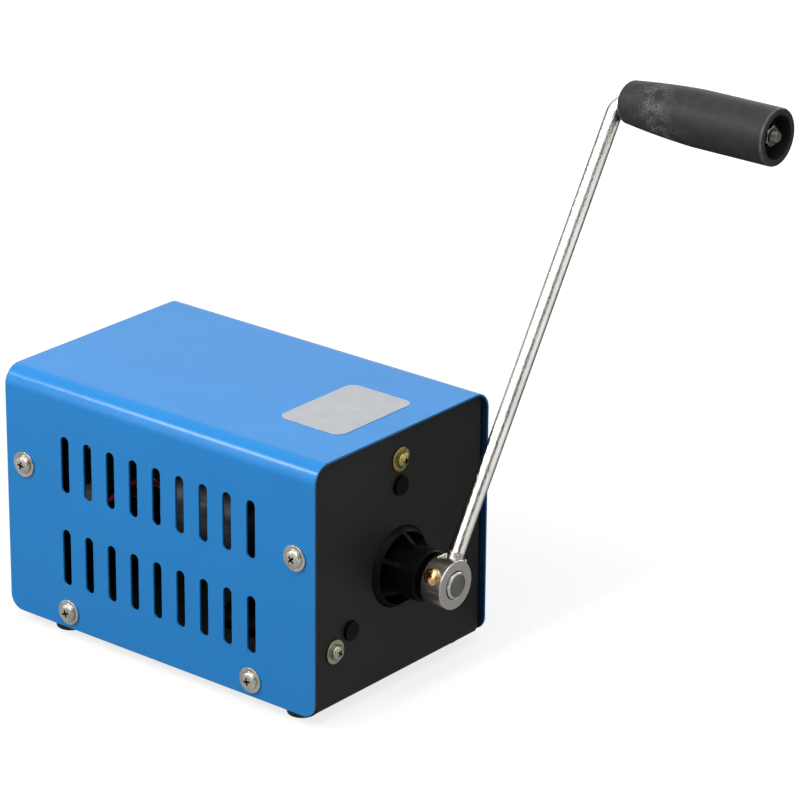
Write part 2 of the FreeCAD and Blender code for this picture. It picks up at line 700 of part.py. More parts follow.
def gearbox_cap():
    """The moulded front cap: flange, lugs, pegs and the ribbed nose."""
    slope_start = PANEL_FRONT - NOSE_RIB_REACH
    profile = [(0, CAP_BACK), (0, NOSE_FRONT), (NOSE_RADIUS - 0.6, NOSE_FRONT)]
    profile += [(NOSE_RADIUS, NOSE_FRONT + 0.6), (NOSE_RADIUS, slope_start)]
    profile += [(NOSE_RIM_RADIUS, PANEL_FRONT), (NOSE_RIM_RADIUS, PANEL_INSIDE)]
    profile += [(CAP_RADIUS, PANEL_INSIDE), (CAP_RADIUS, CAP_BACK)]
    body = turned_y(profile).fuse(lugs(PANEL_INSIDE, CAP_BACK))
    body = body.cut(nose_pockets())
    for angle in PLANET_ANGLES:
        x, z = polar(PEG_CIRCLE, angle)
        body = body.fuse(rod_y(PEG_RADIUS, PANEL_FRONT - PEG_PROUD, PANEL_INSIDE, x, z))
    body = body.cut(rod_y(SHAFT_RADIUS + NOSE_LIP, NOSE_FRONT, CAP_BACK))
    body = body.cut(rod_y(BUSH_RADIUS + PRESS_GAP, NOSE_FRONT + NOSE_LIP, CAP_BACK))
    for x, z in lug_places():
        body = body.cut(rod_y(M3_RADIUS + M3_HOLE_GAP, PANEL_INSIDE, CAP_BACK, x, z))
    return body.removeSplitter()


def shaft_bush():
    """The plain bearing that the crank shaft turns in."""
    return tube_y(BUSH_RADIUS, SHAFT_RADIUS + RUNNING_GAP, NOSE_FRONT + NOSE_LIP, CAP_BACK)


def gearbox_screws():
    """Three screws from the front panel into the gearbox's lugs."""
    reach = M3_WASHER_HEIGHT + CHASSIS_SHEET + CAP_FLANGE + GEAR_WIDTH
    screw = pan_screw(M3_RADIUS, reach, M3_HEAD_RADIUS, M3_HEAD_HEIGHT)
    seat = PANEL_FRONT - M3_WASHER_HEIGHT
    return Part.makeCompound([aimed(screw, V(x, seat, z), V(0, -1, 0)) for x, z in lug_places()])


def gearbox_washers():
    """The flat washers under those screws' heads."""
    ring = washer(M3_WASHER_RADIUS, M3_RADIUS + M3_HOLE_GAP, M3_WASHER_HEIGHT)
    places = [V(x, PANEL_FRONT, z) for x, z in lug_places()]
    return Part.makeCompound([aimed(ring, place, V(0, -1, 0)) for place in places])


def motor_plate():
    """The plate that closes the gearbox and carries the motor."""
    plate = rod_y(GEARBOX_RADIUS, RING_BACK, PLATE_BACK).fuse(lugs(RING_BACK, PLATE_BACK))
    plate = plate.cut(rod_y(MOTOR_BOSS_RADIUS + PRESS_GAP, RING_BACK, PLATE_BACK))
    through = M3_RADIUS + M3_HOLE_GAP
    for x, z in lug_places():
        plate = plate.cut(rod_y(through, RING_BACK, PLATE_BACK, x, z))
    for side in (-1, 1):
        x = side * MOTOR_SCREW_CIRCLE
        plate = plate.cut(rod_y(through, RING_BACK, PLATE_BACK, x))
        sink = RING_BACK + PLATE_THICKNESS / 2
        plate = plate.cut(rod_y(M3_HEAD_RADIUS + M3_HOLE_GAP, RING_BACK, sink, x))
    return plate


def plate_screws():
    """Three screws that hold the motor plate to the ring gear."""
    screw = pan_screw(M3_RADIUS, PLATE_THICKNESS + M3_NUT_HEIGHT * 2, M3_HEAD_RADIUS, M3_HEAD_HEIGHT)
    return Part.makeCompound([aimed(screw, V(x, PLATE_BACK, z), V(0, 1, 0)) for x, z in lug_places()])


def crank_shaft():
    """The shaft with the first planet carrier on its inner end."""
    end = SHAFT_END
    profile = [(0, end), (SHAFT_RADIUS - SHAFT_CHAMFER, end), (SHAFT_RADIUS, end + SHAFT_CHAMFER)]
    profile += [(SHAFT_RADIUS, FIRST_CARRIER_BACK), (0, FIRST_CARRIER_BACK)]
    body = turned_y(profile).fuse(carrier_disc(FIRST_CARRIER_FRONT, FIRST_CARRIER_BACK))
    flat = block(SHAFT_RADIUS - SHAFT_FLAT, 2 * SHAFT_RADIUS, end, COLLAR_BACK,
                 -SHAFT_RADIUS, SHAFT_RADIUS)
    flat.rotate(V(0, 0, 0), V(0, -1, 0), CRANK_ANGLE + 90.0)
    flat.translate(V(0, 0, SHAFT_Z))
    return body.cut(flat)


def second_carrier():
    """The second planet carrier with the first stage's sun on its front."""
    front = FIRST_GEARS_FRONT + GEAR_GAP
    disc = carrier_disc(SECOND_CARRIER_FRONT, SECOND_CARRIER_BACK)
    return disc.fuse(spur_gear(SUN_TEETH, front, SECOND_CARRIER_FRONT)).removeSplitter()


def motor_pinion():
    """The second stage's sun, pressed on the motor's shaft."""
    front = SECOND_GEARS_FRONT + GEAR_GAP
    gear = spur_gear(SUN_TEETH, front, RING_BACK)
    return gear.cut(rod_y(MOTOR_SHAFT_RADIUS + PRESS_GAP, front, RING_BACK))


# ---------------------------------------------------------------- crank and grip

def crank_collar():
    """The plated collar that the set screw holds on the shaft."""
    inner = SHAFT_RADIUS + PRESS_GAP
    edge = COLLAR_RADIUS - COLLAR_CHAMFER
    profile = [(inner, COLLAR_BACK), (edge, COLLAR_BACK)]
    profile += [(COLLAR_RADIUS, COLLAR_BACK - COLLAR_CHAMFER)]
    profile += [(COLLAR_RADIUS, COLLAR_FRONT + COLLAR_CHAMFER), (edge, COLLAR_FRONT)]
    profile += [(inner + COLLAR_CHAMFER, COLLAR_FRONT), (inner, COLLAR_FRONT + COLLAR_CHAMFER)]
    body = turned_y(profile)
    out = set_screw_direction()
    hole = Part.makeCylinder(SET_SCREW_RADIUS + M3_THREAD_GAP, 2 * COLLAR_RADIUS)
    body = body.cut(aimed(hole, V(0, ARM_Y, SHAFT_Z), out))
    face = Part.makeCylinder(SET_WASHER_RADIUS + M3_HOLE_GAP, COLLAR_RADIUS)
    return body.cut(aimed(face, V(0, ARM_Y, SHAFT_Z) + out * set_screw_seat(), out))


def set_screw_direction():
    """The way the set screw's head points, square to the arm."""
    angle = CRANK_RAD + math.pi / 2
    return V(math.cos(angle), 0, math.sin(angle))


def set_screw_seat():
    """How far from the axis the flat under the set screw's washer lies."""
    reach = SET_WASHER_RADIUS + M3_HOLE_GAP
    return math.sqrt(COLLAR_RADIUS ** 2 - reach ** 2)


def set_screw():
    """The screw that bears on the shaft's flat."""
    seat = set_screw_seat() + SET_WASHER_HEIGHT
    reach = seat - (SHAFT_RADIUS - SHAFT_FLAT)
    screw = pan_screw(SET_SCREW_RADIUS, reach, SET_HEAD_RADIUS, SET_HEAD_HEIGHT)
    out = set_screw_direction()
    return aimed(screw, V(0, ARM_Y, SHAFT_Z) + out * seat, out)


def set_screw_washer():
    """The lock washer under the set screw's head."""
    ring = washer(SET_WASHER_RADIUS, SET_SCREW_RADIUS + M3_THREAD_GAP, SET_WASHER_HEIGHT)
    out = set_screw_direction()
    return aimed(ring, V(0, ARM_Y, SHAFT_Z) + out * set_screw_seat(), out)


def crank_arm():
    """The bent rod: a foot flattened on to the collar, a bend, an axle and its stud."""
    out = V(math.cos(CRANK_RAD), 0, math.sin(CRANK_RAD))
    centre = V(0, ARM_Y, SHAFT_Z)
    neck = COLLAR_RADIUS + FOOT_OF_ARM
    start = centre + out * (COLLAR_RADIUS - 1.0)
    wide = Part.Ellipse(V(0, 0, 0), FOOT_OF_ARM_WIDTH / 2, FOOT_OF_ARM_THICKNESS / 2).toShape()
    foot_wire = Part.Wire(wide)
    round_wire = Part.Wire(Part.Circle(V(0, 0, 0), V(0, 0, 1), ROD_RADIUS).toShape())
    for wire, place in ((foot_wire, start), (round_wire, centre + out * neck)):
        frame = FreeCAD.Rotation(V(0, 1, 0), V(0, 0, 0), out, "ZXY")
        wire.Placement = FreeCAD.Placement(place, frame)
    foot = Part.makeLoft([foot_wire, round_wire], True)
    straight = Part.makeCylinder(ROD_RADIUS, CRANK_THROW - ROD_BEND - neck, centre + out * neck, out)
    turn_at = centre + out * (CRANK_THROW - ROD_BEND)
    disc = Part.Face(Part.Wire(Part.Circle(turn_at, out, ROD_RADIUS).toShape()))
    pivot = turn_at + V(0, -ROD_BEND, 0)
    bend = disc.revolve(pivot, out.cross(V(0, -1, 0)), 90)
    axle = rod_y(ROD_RADIUS, ROD_SHOULDER, ARM_Y - ROD_BEND, GRIP_X, GRIP_Z)
    stud = rod_y(STUD_RADIUS, ROD_SHOULDER - STUD_REACH, ROD_SHOULDER, GRIP_X, GRIP_Z)
    arm = foot.fuse([straight, bend, axle, stud]).removeSplitter()
    return arm.cut(rod_y(COLLAR_RADIUS, COLLAR_FRONT, COLLAR_BACK))


def grip():
    """The turned handle, bored for the axle, with a recess for the nut."""
    bore = ROD_RADIUS + RUNNING_GAP
    waist = GRIP_BACK - GRIP_WAIST_LENGTH
    edge = GRIP_EDGE
    x, z = GRIP_X, GRIP_Z

    def at(radius, y):
        return V(x + radius, y, z)

    mouth = at(GRIP_MOUTH_RADIUS, GRIP_BACK)
    cheek = at(GRIP_INNER_RADIUS - edge, GRIP_BACK)
    corner = at(GRIP_INNER_RADIUS - edge * 0.3, GRIP_BACK - edge * 0.3)
    side = at(GRIP_INNER_RADIUS, GRIP_BACK - edge)
    swell = at((GRIP_INNER_RADIUS + GRIP_RADIUS) / 2 + 0.35, (GRIP_BACK - edge + waist) / 2)
    body = at(GRIP_RADIUS, waist)
    rim = at(GRIP_END_RADIUS, GRIP_FRONT + 0.6)
    lip = at(GRIP_END_RADIUS - 0.6, GRIP_FRONT)
    inner = at(GRIP_RECESS_RADIUS, GRIP_FRONT)
    floor = at(GRIP_RECESS_RADIUS, RECESS_FLOOR)
    seat = at(bore, RECESS_FLOOR)
    throat = at(bore, GRIP_BACK - GRIP_MOUTH_DEPTH)
    edges = [Part.makeLine(mouth, cheek)] if GRIP_MOUTH_RADIUS < GRIP_INNER_RADIUS - edge else []
    if not edges:
        cheek = mouth
        corner = at((GRIP_MOUTH_RADIUS + GRIP_INNER_RADIUS) / 2 + 0.4, GRIP_BACK - edge * 0.3)
    edges.append(Part.Arc(cheek, corner, side).toShape())
    edges.append(Part.Arc(side, swell, body).toShape())
    for a, b in ((body, rim), (rim, lip), (lip, inner), (inner, floor), (floor, seat)):
        edges.append(Part.makeLine(a, b))
    edges.append(Part.makeLine(seat, throat))
    edges.append(Part.makeLine(throat, mouth))
    face = Part.Face(Part.Wire(edges))
    return face.revolve(V(x, 0, z), ALONG_Y, 360)


def grip_washer():
    """The washer between the rod's shoulder and the nut."""
    ring = washer(GRIP_WASHER_RADIUS, STUD_RADIUS + M3_THREAD_GAP, GRIP_WASHER_HEIGHT)
    return aimed(ring, V(GRIP_X, ROD_SHOULDER, GRIP_Z), V(0, -1, 0))


def grip_nut():
    """The nut that keeps the grip on its axle."""
    nut = hex_nut(GRIP_NUT_ACROSS, STUD_RADIUS + M3_THREAD_GAP, GRIP_NUT_HEIGHT)
    return aimed(nut, V(GRIP_X, ROD_SHOULDER - GRIP_WASHER_HEIGHT, GRIP_Z), V(0, -1, 0))


# ---------------------------------------------------------------- motor

def motor_can():
    """The drawn steel can, closed at the front round its bearing boss."""
    inner = MOTOR_RADIUS - CAN_WALL
    boss_front = PLATE_BACK - MOTOR_BOSS_LENGTH
    bush = MOTOR_BUSH_RADIUS + PRESS_GAP
    profile = [(bush, boss_front), (MOTOR_BOSS_RADIUS, boss_front), (MOTOR_BOSS_RADIUS, PLATE_BACK)]
    profile += [(MOTOR_RADIUS - 1.5, PLATE_BACK), (MOTOR_RADIUS, PLATE_BACK + 1.5)]
    profile += [(MOTOR_RADIUS, CAN_BACK), (inner, CAN_BACK), (inner, PLATE_BACK + CAN_WALL)]
    profile += [(bush, PLATE_BACK + CAN_WALL)]
    can = turned_y(profile)
    for side in (-1, 1):
        x = side * MOTOR_SCREW_CIRCLE
        can = can.cut(rod_y(M3_RADIUS + M3_THREAD_GAP, PLATE_BACK, PLATE_BACK + CAN_WALL, x))
    return can


def motor_screws():
    """Two screws from inside the gearbox into the motor's face."""
    seat = RING_BACK + PLATE_THICKNESS / 2
    reach = PLATE_BACK - seat + CAN_WALL
    screw = pan_screw(M3_RADIUS, reach, M3_HEAD_RADIUS, PLATE_THICKNESS * 0.4)
    places = [V(side * MOTOR_SCREW_CIRCLE, seat, SHAFT_Z) for side in (-1, 1)]
    return Part.makeCompound([aimed(screw, place, V(0, -1, 0)) for place in places])


def core_front():
    """Where the rotor core starts, in the middle of the magnets."""
    return PLATE_BACK + CAN_WALL + 8.0


def motor_magnets():
    """Two curved magnets inside the can."""
    outer = MOTOR_RADIUS - CAN_WALL
    front = core_front() - 2.0
    length = CORE_LENGTH + 4.0
    magnets = []
    for side in (0, 180):
        start = side - MAGNET_ARC / 2
        sector = Part.makeCylinder(outer, length, V(0, 0, 0), V(0, 0, 1), MAGNET_ARC)
        sector = sector.cut(Part.makeCylinder(outer - MAGNET_THICKNESS, length))
        sector.rotate(V(0, 0, 0), V(0, 0, 1), start)
        sector.rotate(V(0, 0, 0), V(1, 0, 0), -90)
        sector.translate(V(0, front, SHAFT_Z))
        magnets.append(sector)
    return Part.makeCompound(magnets)


def core_radius():
    """The rotor core's radius, an air gap inside the magnets."""
    return MOTOR_RADIUS - CAN_WALL - MAGNET_THICKNESS - AIR_GAP


def rotor_core():
    """The laminated core: a hub and five poles with wide tips."""
    front = core_front()
    back = front + CORE_LENGTH
    outer = core_radius()
    body = rod_y(CORE_HUB_RADIUS, front, back)
    for i in range(CORE_POLES):
        neck = block(0, outer - POLE_TIP / 2, front, back, -POLE_NECK / 2, POLE_NECK / 2)
        tip = Part.makeCylinder(outer, CORE_LENGTH, V(0, 0, 0), V(0, 0, 1), POLE_SPAN)
        tip = tip.cut(Part.makeCylinder(outer - POLE_TIP, CORE_LENGTH))
        tip.rotate(V(0, 0, 0), V(0, 0, 1), -POLE_SPAN / 2)
        tip.rotate(V(0, 0, 0), V(1, 0, 0), -90)
        tip.translate(V(0, front, 0))
        pole = neck.fuse(tip)
        pole.rotate(V(0, 0, 0), V(0, -1, 0), 360.0 / CORE_POLES * i)
        pole.translate(V(0, 0, SHAFT_Z))
        body = body.fuse(pole)
    body = body.cut(rod_y(MOTOR_SHAFT_RADIUS + PRESS_GAP, front, back))
    return body.removeSplitter()


def rotor_coils():
    """One winding round each pole's neck, as a plain frame."""
    front = core_front()
    back = front + CORE_LENGTH
    low = CORE_HUB_RADIUS + COIL_GAP
    inside = POLE_NECK / 2 + COIL_GAP
    outside = inside + COIL_THICKNESS
    high = math.sqrt((core_radius() - POLE_TIP) ** 2 - outside ** 2) - COIL_GAP
    coils = []
    for i in range(CORE_POLES):
        frame = block(low + 0.6, high, front - COIL_THICKNESS, back + COIL_THICKNESS, -outside, outside)
        hole = block(low, high, front - COIL_GAP, back + COIL_GAP, -inside, inside)
        frame = frame.cut(hole)
        frame.rotate(V(0, 0, 0), V(0, -1, 0), 360.0 / CORE_POLES * i)
        frame.translate(V(0, 0, SHAFT_Z))
        coils.append(frame)
    return Part.makeCompound(coils)


def commutator_front():
    """Where the commutator starts behind the coils."""
    return core_front() + CORE_LENGTH + COIL_THICKNESS + 0.5


def commutator():
    """The slitted copper drum under the brushes."""
    front = commutator_front()
    back = front + COMMUTATOR_LENGTH
    drum = tube_y(COMMUTATOR_RADIUS, MOTOR_SHAFT_RADIUS + PRESS_GAP, front, back)
    for i in range(CORE_POLES):
        half = COMMUTATOR_SLIT / 2
        slit = block(COMMUTATOR_RADIUS - 1.0, COMMUTATOR_RADIUS + 1.0, front, back, -half, half)
        slit.rotate(V(0, 0, 0), V(0, -1, 0), 360.0 / CORE_POLES * (i + 0.5))
        slit.translate(V(0, 0, SHAFT_Z))
        drum = drum.cut(slit)
    return drum


def rotor_shaft():
    """The motor's shaft, from the pinion to the rear bush."""
    front = SECOND_GEARS_FRONT + GEAR_GAP
    return rod_y(MOTOR_SHAFT_RADIUS, front, CAN_BACK + END_CAP_BOSS_LENGTH - 1.0)


def motor_bushes():
    """The two plain bearings of the motor's shaft."""
    boss_front = PLATE_BACK - MOTOR_BOSS_LENGTH
    inner = MOTOR_SHAFT_RADIUS + RUNNING_GAP
    front_bush = tube_y(MOTOR_BUSH_RADIUS, inner, boss_front, boss_front + MOTOR_BUSH_LENGTH)
    back = CAN_BACK + END_CAP_BOSS_LENGTH - 1.0
    rear_bush = tube_y(MOTOR_BUSH_RADIUS, inner, back - MOTOR_BUSH_LENGTH, back)
    return Part.makeCompound([front_bush, rear_bush])


def motor_end_cap():
    """The moulded cap in the can's open end."""
    outer = MOTOR_RADIUS - CAN_WALL - PRESS_GAP
    front = CAN_BACK - END_CAP_THICKNESS
    back = CAN_BACK + END_CAP_BOSS_LENGTH
    bush = MOTOR_BUSH_RADIUS + PRESS_GAP
    profile = [(bush, front), (outer, front), (outer, CAN_BACK)]
    profile += [(END_CAP_BOSS_RADIUS, CAN_BACK), (END_CAP_BOSS_RADIUS, back), (bush - 1.5, back)]
    profile += [(bush - 1.5, back - 1.0), (bush, back - 1.0)]
    cap = turned_y(profile)
    for side in (-1, 1):
        x0, x1, z0, z1 = terminal_section(side)
        gap = PRESS_GAP
        cap = cap.cut(block(x0 - gap, x1 + gap, front, CAN_BACK, z0 - gap, z1 + gap))
    return cap


def terminal_section(side):
    """The strip of one terminal, seen along Y: low x, high x, low z, high z."""
    x0 = side * TERMINAL_OUT - TERMINAL_SHEET / 2
    z0 = SHAFT_Z + TERMINAL_UP - TERMINAL_WIDTH / 2
    return x0, x0 + TERMINAL_SHEET, z0, z0 + TERMINAL_WIDTH


def brush_y():
    """The front and back of the brushes, over the commutator's middle."""
    middle = commutator_front() + COMMUTATOR_LENGTH / 2
    return middle - BRUSH_WIDTH / 2, middle + BRUSH_WIDTH / 2


def motor_terminals():
    """Two brass strips, from the solder tabs to the brushes."""
    front = brush_y()[0]
    strips = []
    for side in (-1, 1):
        x0, x1, z0, z1 = terminal_section(side)
        strip = block(x0, x1, front, CAN_BACK + TERMINAL_REACH, z0, z1)
        tongue = block(x0, x1, front, brush_y()[1], SHAFT_Z - BRUSH_WIDTH / 2, z1)
        hole = Part.makeCylinder(0.8, 2 * TERMINAL_SHEET,
                                 V(x0 - TERMINAL_SHEET / 2, CAN_BACK + TERMINAL_REACH - 1.6,
                                   (z0 + z1) / 2), V(1, 0, 0))
        strips.append(strip.fuse(tongue).cut(hole).removeSplitter())
    return Part.makeCompound(strips)


def motor_brushes():
    """Two carbon brushes, hollowed to the commutator, on the terminal strips."""
    front, back = brush_y()
    brushes = []
    for side in (-1, 1):
        inner = TERMINAL_OUT - TERMINAL_SHEET / 2
        x0, x1 = sorted((side * (inner - BRUSH_DEPTH - 0.4), side * inner))
        half = BRUSH_WIDTH / 2
        carbon = block(x0, x1, front, back, SHAFT_Z - half, SHAFT_Z + half)
        brushes.append(carbon.cut(rod_y(COMMUTATOR_RADIUS + BRUSH_GAP, front, back)))
    return Part.makeCompound(brushes)


# ---------------------------------------------------------------- output board

def output_board():
    """The circuit board on its four spacers."""
    x = BOARD_WIDTH / 2
    z = BOARD_HEIGHT / 2
    board = block(-x, x, BOARD_FRONT, BOARD_BACK, BOARD_Z - z, BOARD_Z + z)
    for across, up in board_hole_places():
        board = board.cut(rod_y(M3_RADIUS + M3_HOLE_GAP, BOARD_FRONT, BOARD_BACK, across, up))
    return board


def board_spacers():
    """Four threaded hexagon spacers between the board and the rear panel."""
    spacer = hex_nut(SPACER_ACROSS, M3_RADIUS + M3_THREAD_GAP, SPACER_LENGTH)
    places = [V(x, BOARD_BACK, z) for x, z in board_hole_places()]
    return Part.makeCompound([aimed(spacer, place, V(0, 1, 0)) for place in places])


def panel_screws():
    """Four screws through the rear panel into the spacers."""
    screw = pan_screw(M3_RADIUS, CHASSIS_SHEET + BOARD_SCREW_REACH, M3_HEAD_RADIUS, M3_HEAD_HEIGHT)
    places = [V(x, REAR_OUTSIDE, z) for x, z in board_hole_places()]
    return Part.makeCompound([aimed(screw, place, V(0, 1, 0)) for place in places])


def board_screws():
    """Four screws through the board into the spacers."""
    screw = pan_screw(M3_RADIUS, BOARD_THICKNESS + BOARD_SCREW_REACH, M3_HEAD_RADIUS, M3_HEAD_HEIGHT)
    places = [V(x, BOARD_FRONT, z) for x, z in board_hole_places()]
    return Part.makeCompound([aimed(screw, place, V(0, -1, 0)) for place in places])


def usb_shell():
    """The folded metal shell of the USB socket, open to the rear."""
    back = REAR_OUTSIDE + SOCKET_PROUD
    x = USB_WIDTH / 2
    z = USB_HEIGHT / 2
    shell = block(USB_ACROSS - x, USB_ACROSS + x, BOARD_BACK, back, BOARD_Z - z, BOARD_Z + z)
    x -= USB_SHEET
    z -= USB_SHEET
    inside = block(USB_ACROSS - x, USB_ACROSS + x, BOARD_BACK, back, BOARD_Z - z, BOARD_Z + z)
    return shell.cut(inside)


def usb_tongue():
    """The moulded tongue of the USB socket on its block."""
    gap = PRESS_GAP
    x = USB_WIDTH / 2 - USB_SHEET - gap
    z = USB_HEIGHT / 2 - USB_SHEET - gap
    front = BOARD_BACK
    step = REAR_OUTSIDE + SOCKET_PROUD - 9.0
    end = REAR_OUTSIDE + SOCKET_PROUD - USB_TONGUE_SETBACK
    base = block(USB_ACROSS - x, USB_ACROSS + x, front, step, BOARD_Z - z, BOARD_Z + z)
    half = USB_TONGUE_WIDTH / 2
    top = BOARD_Z + z - 0.6
    tongue = block(USB_ACROSS - half, USB_ACROSS + half, front, end, top - USB_TONGUE_THICKNESS, top)
    return base.fuse(tongue).removeSplitter()


def dc_socket():
    """The moulded body of the DC socket, with its barrel through the rear panel."""
    half = DC_BODY / 2
    back = REAR_OUTSIDE + SOCKET_PROUD
    body = block(DC_ACROSS - half, DC_ACROSS + half, BOARD_BACK, REAR_INSIDE - SOCKET_GAP,
                 BOARD_Z - half, BOARD_Z + half)
    body = body.fuse(rod_y(DC_BARREL_RADIUS, BOARD_BACK, back, DC_ACROSS, BOARD_Z))
    body = body.cut(rod_y(DC_BORE_RADIUS, back - DC_BORE_DEPTH, back, DC_ACROSS, BOARD_Z))
    return body.cut(rod_y(DC_PIN_RADIUS + PRESS_GAP, BOARD_BACK, back, DC_ACROSS, BOARD_Z))


def dc_pin():
    """The centre contact of the DC socket."""
    end = REAR_OUTSIDE + SOCKET_PROUD - DC_PIN_SETBACK
    return rod_y(DC_PIN_RADIUS, BOARD_BACK, end, DC_ACROSS, BOARD_Z)


def board_capacitors():
    """Two upright capacitors on the board's inner side, clear of its screws."""
    front = BOARD_FRONT - CAPACITOR_LENGTH
    far = BOARD_WIDTH / 2 - BOARD_HOLE_INSET - M3_HEAD_RADIUS - CAPACITOR_RADIUS
    near = far - 2 * CAPACITOR_RADIUS - PARTS_GAP
    z = BOARD_Z + BOARD_HEIGHT / 2 - CAPACITOR_RADIUS * 2
    return Part.makeCompound([rod_y(CAPACITOR_RADIUS, front, BOARD_FRONT, x, z) for x in (near, far)])


def board_choke():
    """The ring-shaped choke on the board's inner side."""
    front = BOARD_FRONT - COIL_CORE_HEIGHT
    z = BOARD_Z - CHOKE_DOWN
    return tube_y(COIL_CORE_RADIUS, COIL_CORE_BORE, front, BOARD_FRONT, BOARD_WIDTH / 5, z)


def lead_connector():
    """The white two-way plug where the motor's leads meet the board."""
    x, z = CONNECTOR_ACROSS, CONNECTOR_UP
    w, h = CONNECTOR_WIDTH / 2, CONNECTOR_HEIGHT / 2
    return block(x - w, x + w, BOARD_FRONT - CONNECTOR_DEPTH, BOARD_FRONT, z - h, z + h)


def lead(points):
    """A round wire along a route, its corners rounded as far as the runs allow."""
    body = None
    last = points[0]
    for i in range(1, len(points) - 1):
        back = points[i - 1] - points[i]
        ahead = points[i + 1] - points[i]
        half = back.getAngle(ahead) / 2
        radius = 0.45 * min(back.Length, ahead.Length) * math.tan(half)
        start = points[i] + back.normalize() * (radius / math.tan(half))
        end = points[i] + ahead.normalize() * (radius / math.tan(half))
        middle = points[i] + (back + ahead).normalize() * (radius / math.sin(half))
        run = Part.makeCylinder(LEAD_RADIUS, (start - last).Length, last, start - last)
        disc = Part.Face(Part.Wire(Part.Circle(start, -back, LEAD_RADIUS).toShape()))
        bend = disc.revolve(middle, ahead.cross(back), 180 - math.degrees(2 * half))
        body = run.fuse(bend) if body is None else body.fuse([run, bend])
        last = end
    final = Part.makeCylinder(LEAD_RADIUS, (points[-1] - last).Length, last, points[-1] - last)
    return body.fuse(final)


def lead_start(side):
    """Where a lead is soldered to its terminal: beside the strip, near its end."""
    x = side * (TERMINAL_OUT + TERMINAL_SHEET / 2 + LEAD_RADIUS)
    return V(x, CAN_BACK + TERMINAL_REACH - LEAD_LAP, SHAFT_Z + TERMINAL_UP)


def lead_end(side):
    """Where a lead enters the connector's front face."""
    return V(CONNECTOR_ACROSS + side * LEAD_SPREAD / 2, BOARD_FRONT - CONNECTOR_DEPTH, CONNECTOR_UP)


def lead_route(side, places, run):
    """A lead's points: a first run, then shares of the way between its ends and of the rise."""
    start = lead_start(side)
    end = lead_end(side)
    way = end - start
    points = [start, start + run]
    for across, along, rise in places:
        points.append(start + V(way.x * across, way.y * along, LEAD_RISE * rise))
    return points + [end - V(0, LEAD_STRAIGHT, 0), end]


def motor_lead_red():
    """The red lead, from the left terminal up and over to the connector."""
    run = V(0, LEAD_STRAIGHT, LEAD_STRAIGHT * 0.3)
    return lead(lead_route(-1, [(0.25, 0.356, 1.0), (0.66, 0.56, 0.4)], run))


def motor_lead_black():
    """The black lead, from the right terminal round below the red one."""
    places = [(0.205, 0.61, -0.9), (0.59, 0.61, -1.27), (0.85, 0.68, -0.64)]
    return lead(lead_route(1, places, V(0, LEAD_LAP * 2, 0)))


def build():
    """Every node of the generator, by name."""
    nodes = {
        "cover_shell": cover_shell(), "cover_screws": cover_screws(), "top_label": top_label(),
        "chassis": chassis(), "rubber_feet": rubber_feet(), "foot_screws": foot_screws(),
        "foot_nuts": foot_nuts(), "gearbox_cap": gearbox_cap(), "ring_gear": ring_gear(),
        "motor_plate": motor_plate(), "gearbox_screws": gearbox_screws(),
        "gearbox_washers": gearbox_washers(), "plate_screws": plate_screws(),
        "shaft_bush": shaft_bush(), "crank_shaft": crank_shaft(),
        "first_stage_pins": pins(FIRST_CARRIER_FRONT, FIRST_GEARS_BACK),
        "second_carrier": second_carrier(),
        "second_stage_pins": pins(SECOND_CARRIER_FRONT, SECOND_GEARS_BACK),
        "motor_pinion": motor_pinion(), "crank_collar": crank_collar(), "set_screw": set_screw(),
        "set_screw_washer": set_screw_washer(), "crank_arm": crank_arm(), "grip": grip(),
        "grip_washer": grip_washer(), "grip_nut": grip_nut(), "motor_can": motor_can(),
        "motor_screws": motor_screws(), "motor_magnets": motor_magnets(),
        "motor_end_cap": motor_end_cap(), "motor_bushes": motor_bushes(),
        "motor_brushes": motor_brushes(), "motor_terminals": motor_terminals(),
        "rotor_shaft": rotor_shaft(), "rotor_core": rotor_core(), "rotor_coils": rotor_coils(),
        "commutator": commutator(), "output_board": output_board(),
        "board_spacers": board_spacers(), "panel_screws": panel_screws(),
        "board_screws": board_screws(), "usb_shell": usb_shell(), "usb_tongue": usb_tongue(),
        "dc_socket": dc_socket(), "dc_pin": dc_pin(), "board_capacitors": board_capacitors(),
        "board_choke": board_choke(), "lead_connector": lead_connector(),
        "motor_lead_red": motor_lead_red(), "motor_lead_black": motor_lead_black(),
    }
    for i in range(PLANETS):
        nodes[f"first_planet_{i + 1}"] = planet_gear(i, FIRST_GEARS_FRONT)
        nodes[f"second_planet_{i + 1}"] = planet_gear(i, SECOND_GEARS_FRONT)
    return nodes


os.makedirs("parts", exist_ok=True)
for name, shape in build().items():
    shape.exportStep(os.path.join("parts", name + ".step"))
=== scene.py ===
"""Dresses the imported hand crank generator: finished pieces, materials, light and camera.

Every length is in metres, in the part's own frame: +Z is up, -Y is the crank side and +X is to the
right for someone who faces the crank.
"""

import math
from functools import partial

import bmesh
import bpy
from bpy.props import FloatProperty, FloatVectorProperty, IntProperty, PointerProperty
from mathutils import Matrix, Vector


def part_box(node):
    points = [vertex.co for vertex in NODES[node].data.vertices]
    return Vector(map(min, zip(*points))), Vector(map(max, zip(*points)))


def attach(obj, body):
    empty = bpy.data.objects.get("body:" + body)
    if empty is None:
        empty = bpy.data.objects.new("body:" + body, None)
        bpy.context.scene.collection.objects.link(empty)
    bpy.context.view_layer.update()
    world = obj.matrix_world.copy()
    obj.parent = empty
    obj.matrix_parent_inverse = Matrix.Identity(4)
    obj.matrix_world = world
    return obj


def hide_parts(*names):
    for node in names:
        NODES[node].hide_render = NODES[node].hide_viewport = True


bl_info = {
    "name": "Hand crank generator",
    "version": (1, 0, 0),
    "blender": (4, 5, 0),
    "location": "View3D > Sidebar > Generator",
    "description": "Makes the finished pieces, materials and studio of a hand crank generator",
    "category": "Object",
}

